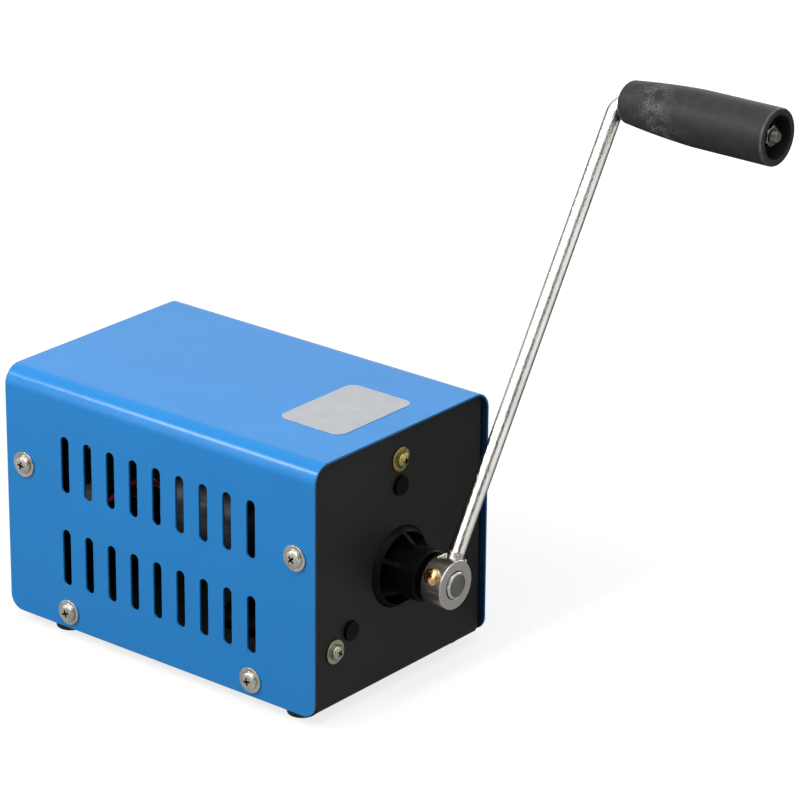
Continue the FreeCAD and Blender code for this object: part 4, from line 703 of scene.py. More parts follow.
def swept_ring(tree, outer, width, height, edge, steps):
    """A flat ring on the ground with rounded edges."""
    middle = number(tree, "SUBTRACT", outer, number(tree, "MULTIPLY", width, 0.5))
    circle = add(tree, "GeometryNodeCurvePrimitiveCircle", {"Resolution": steps, "Radius": middle},
                 mode="RADIUS")
    section = rounded_outline(tree, width, height, edge)
    ring = add(tree, "GeometryNodeCurveToMesh", {"Curve": circle, "Profile Curve": section})
    return moved(tree, ring, z=number(tree, "MULTIPLY", height, 0.5))


def screw_tree():
    """Cross-recessed domed screws, with or without a flange, at every place."""
    tree, given = start_tree("Cross-recessed screws", [
        "Dome Radius", "Dome Height", "Flange Radius", "Flange Height", "Recess Reach", "Recess Width",
        "Recess Depth", "Shank Radius", "Shank Length"], ["Seed"])
    num, at = partial(number, tree), here(tree)
    radius, flange = given["Dome Radius"], given["Flange Height"]
    # the dome: a grid of 48 steps round and 13 up, rolled into a skin and closed below
    grid = add(tree, "GeometryNodeMeshGrid", {"Size X": 1.0, "Size Y": 1.0, "Vertices X": 49,
                                              "Vertices Y": 14})
    turn = num("MULTIPLY", at["X"], -2 * math.pi)
    rise = num("MULTIPLY_ADD", at["Y"], math.pi / 2, math.pi / 4)
    reach = num("MULTIPLY", num("POWER", num("COSINE", rise), 0.62), radius)
    up = num("POWER", num("SINE", rise), 0.8)
    dome = reshaped(tree, grid, num("MULTIPLY", reach, num("COSINE", turn)),
                    num("MULTIPLY", reach, num("SINE", turn)),
                    num("MULTIPLY_ADD", up, num("SUBTRACT", given["Dome Height"], flange), flange))
    sole = add(tree, "GeometryNodeMeshCircle", {"Vertices": 48, "Radius": radius}, fill_type="NGON")
    sole_down = add(tree, "GeometryNodeFlipFaces", {"Mesh": moved(tree, sole, z=flange)})
    whole = add(tree, "GeometryNodeJoinGeometry", {0: [dome, sole_down]})
    welded = add(tree, "GeometryNodeMergeByDistance", {"Geometry": whole, "Distance": 1e-6})
    # the recess: two crossed bars that narrow as they go down
    size = add(tree, "ShaderNodeCombineXYZ", {"X": num("MULTIPLY", given["Recess Reach"], 2.0),
                                              "Y": given["Recess Width"],
                                              "Z": num("MULTIPLY", given["Recess Depth"], 2.0)})
    narrow = num("MULTIPLY_ADD", num("DIVIDE", at["Z"], given["Recess Depth"]), 0.36, 0.64)
    bar = reshaped(tree, add(tree, "GeometryNodeMeshCube", {"Size": size}), num("MULTIPLY", at["X"], narrow),
                   at["Y"], at["Z"])
    bars = [moved(tree, bar, z=given["Dome Height"], turn=turn) for turn in (0.0, math.pi / 2)]
    head = add(tree, "GeometryNodeMeshBoolean", {0: welded, 1: bars}, operation="DIFFERENCE", solver="EXACT")
    # the flange: a ring with a rounded edge, and a plug under the dome
    width = num("SUBTRACT", given["Flange Radius"], num("MULTIPLY", radius, 0.5))
    ring = swept_ring(tree, given["Flange Radius"], width, flange, num("MULTIPLY", flange, 0.3), 64)
    half = num("MULTIPLY", flange, 0.5)
    block = partial(add, tree, "GeometryNodeMeshCylinder", fill_type="NGON")
    plug = moved(tree, block({"Vertices": 48, "Radius": radius, "Depth": flange}), z=half)
    # the shank, which starts inside the head
    shank = block({"Vertices": 32, "Radius": given["Shank Radius"],
                   "Depth": num("ADD", given["Shank Length"], half)})
    sunk = moved(tree, shank, z=num("MULTIPLY", num("SUBTRACT", half, given["Shank Length"]), 0.5))
    spin = add(tree, "FunctionNodeRandomValue", {2: 0.0, 3: math.pi, "Seed": given["Seed"]},
               data_type="FLOAT")
    screw = add(tree, "GeometryNodeJoinGeometry", {0: [head, ring, plug, sunk]})
    return placed(tree, given, screw, spin)


def ring_tree():
    """Flat washers with rounded edges at every place."""
    tree, given = start_tree("Flat washers", ["Outer Radius", "Inner Radius", "Thickness", "Edge"])
    width = number(tree, "SUBTRACT", given["Outer Radius"], given["Inner Radius"])
    ring = swept_ring(tree, given["Outer Radius"], width, given["Thickness"], given["Edge"], 72)
    return placed(tree, given, ring, 0.0)


def nut_tree():
    """Hexagon nuts with chamfered corners and a bore at every place."""
    tree, given = start_tree("Hexagon nuts", ["Across Flats", "Bore Radius", "Height", "Turn"])
    num, height = partial(number, tree), given["Height"]
    corner = num("DIVIDE", given["Across Flats"], 2 * math.cos(math.pi / 6))
    top = num("MULTIPLY", given["Across Flats"], 0.475)
    cone = add(tree, "GeometryNodeMeshCone", {"Vertices": 96, "Radius Top": top, "Depth": height,
                                              "Radius Bottom": num("MULTIPLY_ADD", height, 1.7, top)},
               fill_type="NGON")
    block = partial(add, tree, "GeometryNodeMeshCylinder", fill_type="NGON")
    prism = block({"Vertices": 6, "Radius": corner, "Depth": height})
    both = [prism, moved(tree, cone, z=num("MULTIPLY", height, -0.5))]
    chamfered = add(tree, "GeometryNodeMeshBoolean", {1: both}, operation="INTERSECT", solver="EXACT")
    bore = block({"Vertices": 48, "Radius": given["Bore Radius"], "Depth": num("MULTIPLY", height, 3.0)})
    bored = add(tree, "GeometryNodeMeshBoolean", {0: chamfered, 1: bore}, operation="DIFFERENCE",
                solver="EXACT")
    return placed(tree, given, moved(tree, bored, z=num("MULTIPLY", height, 0.5)), given["Turn"])


def cover_tree():
    """The outer skin of the folded cover: two vented flaps, two bends and the top, as one sheet."""
    tree, given = start_tree("Vented cover", [
        "Width", "Length", "Top", "Bottom", "Bend", "Corner", "Vent Width", "Vent Length", "Vent Pitch",
        "Lower Row", "Upper Row", "Screw Hole", "Upper Inset", "Upper Height", "Lower Inset", "Lower Height"],
        ["Vents"])
    num, at = partial(number, tree), here(tree)
    # a flap's outline, drawn flat: X runs along the case and Y is the height
    edge_top = num("SUBTRACT", given["Top"], given["Bend"])
    tall = num("SUBTRACT", edge_top, given["Bottom"])
    low_corner = num("LESS_THAN", at["Y"], 0.0)
    flap = rounded_outline(tree, given["Length"], tall, num("MULTIPLY", low_corner, given["Corner"]), 10)
    outline = moved(tree, flap, y=num("MULTIPLY_ADD", tall, 0.5, given["Bottom"]))
    # two rows of vents
    vent = rounded_outline(tree, given["Vent Width"], given["Vent Length"],
                           num("MULTIPLY", given["Vent Width"], 0.4995), 10)
    rows = add(tree, "GeometryNodeMeshGrid", {
        "Size X": num("MULTIPLY", given["Vent Pitch"], num("SUBTRACT", given["Vents"], 1.0)),
        "Size Y": num("SUBTRACT", given["Upper Row"], given["Lower Row"]),
        "Vertices X": given["Vents"], "Vertices Y": 2})
    middle = num("MULTIPLY", num("ADD", given["Upper Row"], given["Lower Row"]), 0.5)
    spots = moved(tree, rows, y=middle)
    cuts = [add(tree, "GeometryNodeInstanceOnPoints", {"Points": spots, "Instance": vent})]
    # two pairs of screw holes
    hole = add(tree, "GeometryNodeCurvePrimitiveCircle", {"Resolution": 32, "Radius": given["Screw Hole"]},
               mode="RADIUS")
    for pair in ("Upper", "Lower"):
        reach = num("MULTIPLY_ADD", given["Length"], 0.5, num("MULTIPLY", given[pair + " Inset"], -1.0))
        height = given[pair + " Height"]
        first, last = (add(tree, "ShaderNodeCombineXYZ", {"X": num("MULTIPLY", reach, side), "Y": height})
                       for side in (-1.0, 1.0))
        line = add(tree, "GeometryNodeMeshLine", {"Count": 2, 2: first, 3: last}, mode="END_POINTS")
        cuts.append(add(tree, "GeometryNodeInstanceOnPoints", {"Points": line, "Instance": hole}))
    holes = add(tree, "GeometryNodeJoinGeometry", {0: cuts})
    punched = add(tree, "GeometryNodeRealizeInstances", {"Geometry": holes})
    lines = add(tree, "GeometryNodeJoinGeometry", {0: [punched, outline]})
    flat = add(tree, "GeometryNodeFillCurve", {"Curve": lines}, mode="TRIANGLES")
    half = num("MULTIPLY", given["Width"], 0.5)
    right = reshaped(tree, flat, half, at["X"], at["Y"])
    left = reshaped(tree, flat, num("MULTIPLY", half, -1.0), at["X"], at["Y"])
    left_out = add(tree, "GeometryNodeFlipFaces", {"Mesh": left})
    # the bends and the top: 17 points round each bend, and one flat face between them
    grid = add(tree, "GeometryNodeMeshGrid", {"Size X": 33.0, "Size Y": given["Length"], "Vertices X": 34,
                                              "Vertices Y": 2})
    count = num("ADD", at["X"], 16.5)
    past = num("GREATER_THAN", count, 16.5)
    turn = num("MULTIPLY_ADD", num("SUBTRACT", count, past), -math.pi / 32, math.pi)
    side = num("MULTIPLY_ADD", past, 2.0, -1.0)
    across = num("MULTIPLY", side, num("SUBTRACT", half, given["Bend"]))
    top = reshaped(tree, grid, num("MULTIPLY_ADD", num("COSINE", turn), given["Bend"], across), at["Y"],
                   num("MULTIPLY_ADD", num("SINE", turn), given["Bend"], edge_top))
    skin = add(tree, "GeometryNodeJoinGeometry", {0: [right, left_out, top]})
    welded = add(tree, "GeometryNodeMergeByDistance", {"Geometry": skin, "Distance": 0.00001})
    return end_tree(tree, given, welded)


# what makes each tree, and how its pieces are softened: bevel width, segments and angle
KINDS = {"screws": (screw_tree, (0.0, 2, 42.0)), "washers": (ring_tree, (0.0, 2, 50.0)),
         "nuts": (nut_tree, (0.1 * MM, 2, 25.0)), "cover": (cover_tree, (0.22 * MM, 2, 55.0))}
TREES = {}


def grown(name, kind, places, body, slot, node, finish="", sheet=0.0, **values):
    """Runs a tree on points that face given ways, and makes the result a finished piece.

    The values are the tree's inputs, named in lower case.
    """
    maker, softening = KINDS[kind]
    if kind not in TREES:
        TREES[kind] = maker()
    mesh = bpy.data.meshes.new(name + "_places")
    mesh.from_pydata([tuple(place) for place, _ in places], [], [])
    facing = mesh.attributes.new("facing", "FLOAT_VECTOR", "POINT")
    facing.data.foreach_set("vector", [c for _, way in places for c in way])
    seat = new_object(name + "_places", mesh)
    modifier = seat.modifiers.new(name, "NODES")
    modifier.node_group = TREES[kind]
    values["material"] = FINISHES[slot]
    for item in TREES[kind].interface.items_tree:
        key = item.name.lower().replace(" ", "_")
        if item.in_out == "INPUT" and key in values:
            modifier[item.identifier] = values[key]
    return finished(softened(plain(seat, name), *softening, sheet=sheet), body, slot, [node], finish)


# ---------------------------------------------------------------- operators

class GENERATOR_OT_materials(bpy.types.Operator):
    """Makes every finish of the generator"""
    bl_idname = "generator.materials"
    bl_label = "Finishes"

    def execute(self, context):
        FINISHES.update(make_materials(context.scene.generator_cover, context.scene.generator_crank))
        return {"FINISHED"}


# how far from the case's middle, and how high, the two pairs of cover screws on each side stand
UPPER_SCREWS = (64.7 * MM, 63.3 * MM)
LOWER_SCREWS = (44.0 * MM, 10.4 * MM)


class GENERATOR_OT_cover(bpy.types.Operator):
    """Makes the vented, powder-coated cover"""
    bl_idname = "generator.cover"
    bl_label = "Cover"

    def execute(self, context):
        cover = context.scene.generator_cover
        origin = ((0.0, 0.0, 0.0), (0.0, 0.0, 1.0))
        grown("cover", "cover", [origin], "housing", "blue_powder_coat", "cover_shell",
              sheet=cover.sheet, width=COVER_HIGH.x - COVER_LOW.x, length=COVER_HIGH.y - COVER_LOW.y,
              top=COVER_HIGH.z, bottom=COVER_LOW.z, bend=cover.bend, corner=cover.corner,
              vent_width=cover.slot_width, vent_length=cover.slot_length, vent_pitch=cover.slot_pitch,
              lower_row=cover.lower_row, upper_row=cover.upper_row, vents=cover.slots, screw_hole=2.1 * MM,
              upper_inset=8.8 * MM, upper_height=UPPER_SCREWS[1], lower_inset=29.5 * MM,
              lower_height=LOWER_SCREWS[1])
        return {"FINISHED"}


class GENERATOR_OT_label(bpy.types.Operator):
    """Makes the bare silver label on the cover"""
    bl_idname = "generator.label"
    bl_label = "Label"

    def execute(self, context):
        dressed("top_label", "label", "housing", "label_film", 0.06)
        return {"FINISHED"}


class GENERATOR_OT_chassis(bpy.types.Operator):
    """Makes the folded chassis with its front and rear panels"""
    bl_idname = "generator.chassis"
    bl_label = "Chassis"

    def execute(self, context):
        dressed("chassis", "chassis_folded", "housing", "black_powder_coat", 0.2)
        return {"FINISHED"}


class GENERATOR_OT_nose(bpy.types.Operator):
    """Makes the moulded gearbox cap with its ribbed nose and pegs"""
    bl_idname = "generator.nose"
    bl_label = "Nose"

    def execute(self, context):
        dressed("gearbox_cap", "gearbox_nose", "housing", "black_acetal", 0.3, 3)
        return {"FINISHED"}


class GENERATOR_OT_screws(bpy.types.Operator):
    """Makes the cover screws, and the screws and washers of the front and rear panels"""
    bl_idname = "generator.screws"
    bl_label = "Screws"

    def execute(self, context):
        wares = context.scene.generator_hardware
        sides = [((side * COVER_HIGH.x, end * y, z), (side, 0.0, 0.0))
                 for side in (-1, 1) for y, z in (UPPER_SCREWS, LOWER_SCREWS) for end in (-1, 1)]
        grown("cover_screw_heads", "screws", sides, "housing", "nickel_screws", "cover_screws",
              dome_radius=wares.cover_dome, dome_height=wares.cover_height, flange_radius=wares.cover_flange,
              flange_height=0.7 * MM, recess_reach=2.45 * MM, recess_width=0.75 * MM, recess_depth=0.55 * MM,
              shank_radius=1.9 * MM, shank_length=7.0 * MM, seed=wares.seed)
        pan = partial(grown, kind="screws", body="housing", dome_radius=wares.pan_radius,
                      dome_height=wares.pan_height, flange_radius=wares.pan_radius, flange_height=0.55 * MM,
                      recess_reach=2.05 * MM, recess_width=0.7 * MM, recess_depth=0.55 * MM,
                      shank_radius=1.5 * MM)
        turns = [math.radians(90.0 + 120.0 * i) for i in range(3)]
        lugs = [(LUG_CIRCLE * math.cos(turn), SHAFT_Z + LUG_CIRCLE * math.sin(turn)) for turn in turns]
        seats, washers = ([((x, y, z), (0.0, -1.0, 0.0)) for x, z in lugs]
                          for y in (PANEL_FRONT - wares.washer_height, PANEL_FRONT))
        pan("gearbox_screw_heads", places=seats, slot="yellow_zinc", node="gearbox_screws",
            shank_length=19.0 * MM, seed=wares.seed + 3)
        grown("gearbox_washer_rings", "washers", washers, "housing", "yellow_zinc", "gearbox_washers",
              outer_radius=wares.washer_radius, inner_radius=1.7 * MM, thickness=wares.washer_height,
              edge=0.18 * MM)
        back = [((x, REAR_OUTSIDE, OUTPUT_Z + z), (0.0, 1.0, 0.0))
                for x in (-0.026, 0.026) for z in (-0.013, 0.013)]
        pan("panel_screw_heads", places=back, slot="nickel_screws", node="panel_screws",
            shank_length=6.2 * MM, seed=wares.seed + 5)
        return {"FINISHED"}


class GENERATOR_OT_feet(bpy.types.Operator):
    """Makes the rubber feet"""
    bl_idname = "generator.feet"
    bl_label = "Feet"

    def execute(self, context):
        dressed("rubber_feet", "rubber_foot_set", "housing", "black_rubber", 0.35, 3)
        return {"FINISHED"}


class GENERATOR_OT_shaft(bpy.types.Operator):
    """Makes the crank shaft, its collar, the set screw and its lock washer"""
    bl_idname = "generator.shaft"
    bl_label = "Shaft and collar"

    def execute(self, context):
        self.make_spindle()
        self.make_collar()
        seat, washer = 8.40 * MM, 0.9 * MM
        washer_seat = COLLAR_MIDDLE + SCREW_OUT * seat
        head_seat = COLLAR_MIDDLE + SCREW_OUT * (seat + washer)
        grown("set_screw_head", "screws", [(head_seat, SCREW_OUT)], "crank", "copper_screw", "set_screw",
              dome_radius=2.9 * MM, dome_height=1.8 * MM, flange_radius=2.9 * MM, flange_height=0.5 * MM,
              recess_reach=2.2 * MM, recess_width=0.7 * MM, recess_depth=0.5 * MM, shank_radius=1.5 * MM,
              shank_length=4.5 * MM, seed=context.scene.generator_hardware.seed + 9)
        grown("set_screw_ring", "washers", [(washer_seat, SCREW_OUT)], "crank", "grey_zinc",
              "set_screw_washer", "washer_tin", outer_radius=3.1 * MM, inner_radius=1.94 * MM,
              thickness=washer, edge=0.12 * MM)
        return {"FINISHED"}

    def make_spindle(self):
        """The crank shaft, turned round at its very end, past the set screw's flat."""
        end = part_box("crank_shaft")[0].y - 0.00001
        thick, inside = SPINDLE_RADIUS, end + 1.5 * MM
        tip = turned("spindle_tip", [(0.0, end), (thick - 0.7 * MM, end), (thick - 0.1 * MM, end + 0.5 * MM),
                                     (thick, end + 0.7 * MM), (thick, inside), (0.0, inside)], (0.0, SHAFT_Z))
        shape = bmesh.new()
        for piece in (copied("crank_shaft", "spindle_raw"), tip):
            shape.from_mesh(piece.data)
            bpy.data.objects.remove(piece)
        spindle = softened(from_bmesh("crank_spindle", shape), angle=30.0)
        finished(spindle, "crank", "steel", ["crank_shaft"], "spindle")

    def make_collar(self):
        """The collar, with the set screw's seat milled flat into its side, and the threaded hole."""
        bore = 5.01 * MM
        profile = [(bore, COLLAR_HIGH.y), (COLLAR_RADIUS, COLLAR_HIGH.y), (COLLAR_RADIUS, COLLAR_LOW.y),
                   (bore + 0.35 * MM, COLLAR_LOW.y), (bore, COLLAR_LOW.y + 0.35 * MM), (bore, COLLAR_HIGH.y)]
        ring = turned("collar_raw", rounded_profile(profile, 0.5 * MM), (0.0, SHAFT_Z), 128)
        shape = bmesh.new()
        turn = Vector((0, 0, 1)).rotation_difference(SCREW_OUT).to_matrix().to_4x4()
        for size, low, high in ((3.3 * MM, 8.35 * MM, 0.014), (1.95 * MM, 0.003, 0.014)):
            move = Matrix.Translation(COLLAR_MIDDLE + SCREW_OUT * (low + high) / 2)
            bmesh.ops.create_cone(shape, cap_ends=True, segments=64, radius1=size, radius2=size,
                                  depth=high - low, matrix=move @ turn)
        cutter = from_bmesh("collar_cutter", shape)
        modified(ring, "seat", "BOOLEAN", operation="DIFFERENCE", solver="EXACT", object=cutter,
                 use_self=True)
        collar = plain(ring, "collar")
        bpy.data.objects.remove(cutter)
        finished(softened(collar, angle=24.0), "crank", "nickel", ["crank_collar"], "nickel_collar")


def ramp(value, low, high):
    """How far a value has come from low to high, from 0 to 1, with soft ends."""
    t = min(1.0, max(0.0, (value - low) / (high - low)))
    return t * t * (3 - 2 * t)


class GENERATOR_OT_arm(bpy.types.Operator):
    """Makes the bent rod, from its flattened foot to the threaded stud in the grip, and its weld"""
    bl_idname = "generator.arm"
    bl_label = "Crank arm"

    def execute(self, context):
        crank = context.scene.generator_crank
        self.make_rod(crank)
        self.make_weld(crank.weld_height / MM)
        return {"FINISHED"}

    def make_rod(self, crank):
        """The rod, as rings of points along its line; each has a middle and two radii."""
        rod = crank.rod_radius
        foot_start, foot_length = 8.2, 10.8
        foot_end = (foot_start + foot_length) * MM
        rings = []
        # the foot: an oval that hugs the collar and swells back to the round rod
        for i in range(25):
            t = i / 24
            blend = ramp(t, 0.0, 1.0)
            wide = crank.foot_width / 2 * (1 - blend) + rod * blend
            thin = crank.foot_thickness / 2 * (1 - blend) + rod * blend
            out = (foot_start + foot_length * t) * MM
            rings.append((COLLAR_MIDDLE + ARM_OUT * out, ALONG * wide, SCREW_OUT * thin))
        bend_at = CRANK_THROW - crank.rod_bend
        for i in range(1, 40):
            out = foot_end + (bend_at - foot_end) * i / 40
            rings.append((COLLAR_MIDDLE + ARM_OUT * out, ALONG * rod, SCREW_OUT * rod))
        pivot = COLLAR_MIDDLE + ARM_OUT * bend_at - ALONG * crank.rod_bend
        for i in range(17):
            angle = math.pi / 2 * i / 16
            spoke = ALONG * math.cos(angle) + ARM_OUT * math.sin(angle)
            rings.append((pivot + spoke * crank.rod_bend, spoke * rod, SCREW_OUT * rod))
        start, end = ARM_Y - crank.rod_bend, STUD_START
        axle = Vector((GRIP_X, 0.0, GRIP_Z))
        for i in range(1, 9):
            y = start + (end - start) * i / 8
            rings.append((axle + ALONG * y, ARM_OUT * rod, SCREW_OUT * rod))
        rings.append((axle + ALONG * end, ARM_OUT * rod * 0.66, SCREW_OUT * rod * 0.66))
        shape = bmesh.new()
        turns = circle_turns(48)
        rows = [[shape.verts.new(place + first * math.cos(turn) + second * math.sin(turn)) for turn in turns]
                for place, first, second in rings]
        # the stud: a screw thread, cut as one helix
        steps, stud, pitch, depth = 84, 6.3 * MM, 0.7 * MM, 0.38 * MM
        for i in range(steps + 1):
            y = end - stud * i / steps
            row = []
            for k, turn in enumerate(turns):
                wave = ((end - y) / pitch + k / len(turns)) % 1.0
                radius = 1.45 * MM if i == steps else 2.0 * MM - depth * (1 - abs(2 * wave - 1))
                row.append(shape.verts.new(axle + ALONG * y + ARM_OUT * radius * math.cos(turn)
                                           + SCREW_OUT * radius * math.sin(turn)))
            rows.append(row)
        skinned(shape, rows)
        shape.faces.new(rows[0][::-1])
        shape.faces.new(rows[-1])
        arm = softened(from_bmesh("crank_rod", shape, recalculate=True), angle=40.0)
        finished(arm, "crank", "nickel", ["crank_arm"])

    def make_weld(self, tall):
        """The weld bead: a lumpy fillet round the rod's foot, with a tail run out over the collar's side.

        It is drawn in millimetres: y along the shaft and arc round the collar, from the rod's middle.
        """
        foot_out, foot_in = -4.2, -2.8
        tail_y, tail_arc, tail_length = 0.479, 0.878, 7.4
        blob_y, blob_arc, blob_height = -2.6, -2.4, 1.3
        sunk_by, under = 0.2, -0.6

        def rise(y, arc):
            fillet = (tall * ramp(-math.hypot(y, arc), foot_out, foot_in)
                      * (1 + 0.1 * math.sin(3 * math.atan2(y, arc) + 0.7)))
            t = (tail_y * y + tail_arc * arc) / tail_length
            off = abs(tail_y * arc - tail_arc * y)
            tail = ((2.3 - 1.9 * t) * ramp(-off, 1.1 * t - 2.1, -0.3) * ramp(t, -0.05, 0.1)
                    * ramp(-t, -1.0, -0.88))
            blob = blob_height * ramp(-math.hypot(y - blob_y, arc - blob_arc), -1.7, -0.3)
            top = max(fillet, tail, blob)
            lumps = (0.12 * math.sin(1.7 * y + 1.3) * math.sin(1.5 * arc)
                     + 0.06 * math.sin(3.1 * arc + 0.9 * y))
            return top + lumps * min(1.0, top) - sunk_by

        rows, columns = 44, 66
        first_y, deep, first_arc, wide = -4.3, 8.5, -5.0, 13.2
        shape = bmesh.new()
        # the bead's top, and its underside sunk into the collar
        sheets = ([], [])
        for sheet, sunk in zip(sheets, (False, True)):
            for i in range(rows + 1):
                y = first_y + deep * i / rows
                line = []
                for k in range(columns + 1):
                    arc = first_arc + wide * k / columns
                    reach = COLLAR_RADIUS + (under if sunk else rise(y, arc)) * MM
                    turn = arc * MM / COLLAR_RADIUS
                    way = ARM_OUT * math.cos(turn) + SCREW_OUT * math.sin(turn)
                    line.append(shape.verts.new(COLLAR_MIDDLE + ALONG * y * MM + way * reach))
                sheet.append(line)
        for sheet in sheets:
            for low, high in zip(sheet, sheet[1:]):
                for k in range(columns):
                    shape.faces.new((low[k], low[k + 1], high[k + 1], high[k]))
        top, low = sheets
        rim = [(0, k) for k in range(columns)] + [(i, columns) for i in range(rows)]
        rim += [(rows, k) for k in range(columns, 0, -1)] + [(i, 0) for i in range(rows, 0, -1)]
        for (a, b), (c, d) in zip(rim, rim[1:] + rim[:1]):
            shape.faces.new((top[a][b], top[c][d], low[c][d], low[a][b]))
        bead = softened(from_bmesh("arm_weld", shape, recalculate=True), angle=60.0)
        finished(bead, "crank", "nickel", [], "weld_nickel")


class GENERATOR_OT_grip(bpy.types.Operator):
    """Makes the turned grip and the washer and nut in its end"""
    bl_idname = "generator.grip"
    bl_label = "Grip"

    def execute(self, context):
        back, front = GRIP_HIGH.y, GRIP_LOW.y
        floor = front + 6.3 * MM
        bore, cheek, edge, recess = 3.06 * MM, 7.9 * MM, 2.6 * MM, 7.9 * MM
        belly = GRIP_RADIUS - 0.1 * MM
        profile = [(bore, floor), (bore, back - 4.5 * MM), (5.0 * MM, back)]
        for i in range(9):
            angle = math.pi / 2 * i / 8
            profile.append((cheek - edge * (1 - math.sin(angle)), back - edge * (1 - math.cos(angle))))
        # the waist swells from the inner end to the full radius, then runs almost straight
        waist = back - 31.0 * MM
        for i in range(1, 21):
            t = i / 20
            swell = cheek + (belly - cheek) * t + 0.3 * MM * 4 * t * (1 - t)
            profile.append((swell, back - edge + (waist - back + edge) * t))
        for i in range(1, 9):
            t = i / 8
            profile.append((belly + (GRIP_RADIUS - belly) * t, waist + (front + 0.7 * MM - waist) * t))
        profile += [(GRIP_RADIUS - 0.2 * MM, front + 0.2 * MM), (GRIP_RADIUS - 0.7 * MM, front),
                    (recess + 0.35 * MM, front), (recess + 0.08 * MM, front + 0.1 * MM),
                    (recess, front + 0.35 * MM), (recess, floor), (bore, floor)]
        grip = turned("grip_turned", profile, (GRIP_X, GRIP_Z), 128)
        finished(softened(grip, angle=32.0), "grip_body", "grip_plastic", ["grip"])
        shoulder, washer = floor - 0.2 * MM, 0.8 * MM
        grown("grip_washer_ring", "washers", [((GRIP_X, shoulder, GRIP_Z), (0.0, -1.0, 0.0))], "crank",
              "grey_zinc", "grip_washer", outer_radius=4.5 * MM, inner_radius=2.04 * MM, thickness=washer,
              edge=0.15 * MM)
        grown("grip_hex_nut", "nuts", [((GRIP_X, shoulder - washer, GRIP_Z), (0.0, -1.0, 0.0))], "crank",
              "grey_zinc", "grip_nut", "nut_zinc", across_flats=7.0 * MM, bore_radius=2.04 * MM,
              height=3.2 * MM, turn=0.3)
        return {"FINISHED"}


# the CAD nodes inside and underneath, each with its body and its slot
INSIDE = [line.split() for line in """
foot_screws housing grey_zinc
foot_nuts housing grey_zinc
ring_gear housing black_acetal
motor_plate housing black_acetal
plate_screws housing grey_zinc
shaft_bush housing bronze
first_stage_pins crank steel
second_carrier second_stage gear_acetal
second_stage_pins second_stage steel
motor_pinion rotor brass
motor_can housing can_steel
motor_screws housing grey_zinc
motor_magnets housing magnet_ferrite
motor_end_cap housing socket_black
motor_bushes housing bronze
motor_brushes housing carbon
motor_terminals housing brass
rotor_shaft rotor steel
rotor_core rotor core_steel
rotor_coils rotor copper
commutator rotor copper
output_board housing board_laminate
board_spacers housing brass
board_screws housing nickel_screws
usb_shell housing socket_steel
usb_tongue housing white_nylon
dc_socket housing socket_black
dc_pin housing socket_steel
board_capacitors housing black_sleeve
board_choke housing core_steel
lead_connector housing white_nylon
motor_lead_red housing lead_red
motor_lead_black housing lead_black
""".strip().splitlines()]
INSIDE += [(f"{stage}_planet_{count}", f"{stage}_planet_body_{count}", "gear_acetal")
           for count in (1, 2, 3) for stage in ("first", "second")]


class GENERATOR_OT_inside(bpy.types.Operator):
    """Makes the gears, the motor, the leads, the output board and the feet's screws and nuts"""
    bl_idname = "generator.inside"
    bl_label = "Inside"

    def execute(self, context):
        for node, body, slot in INSIDE:
            dressed(node, node + "_piece", body, slot, 0.08, 1)
        return {"FINISHED"}


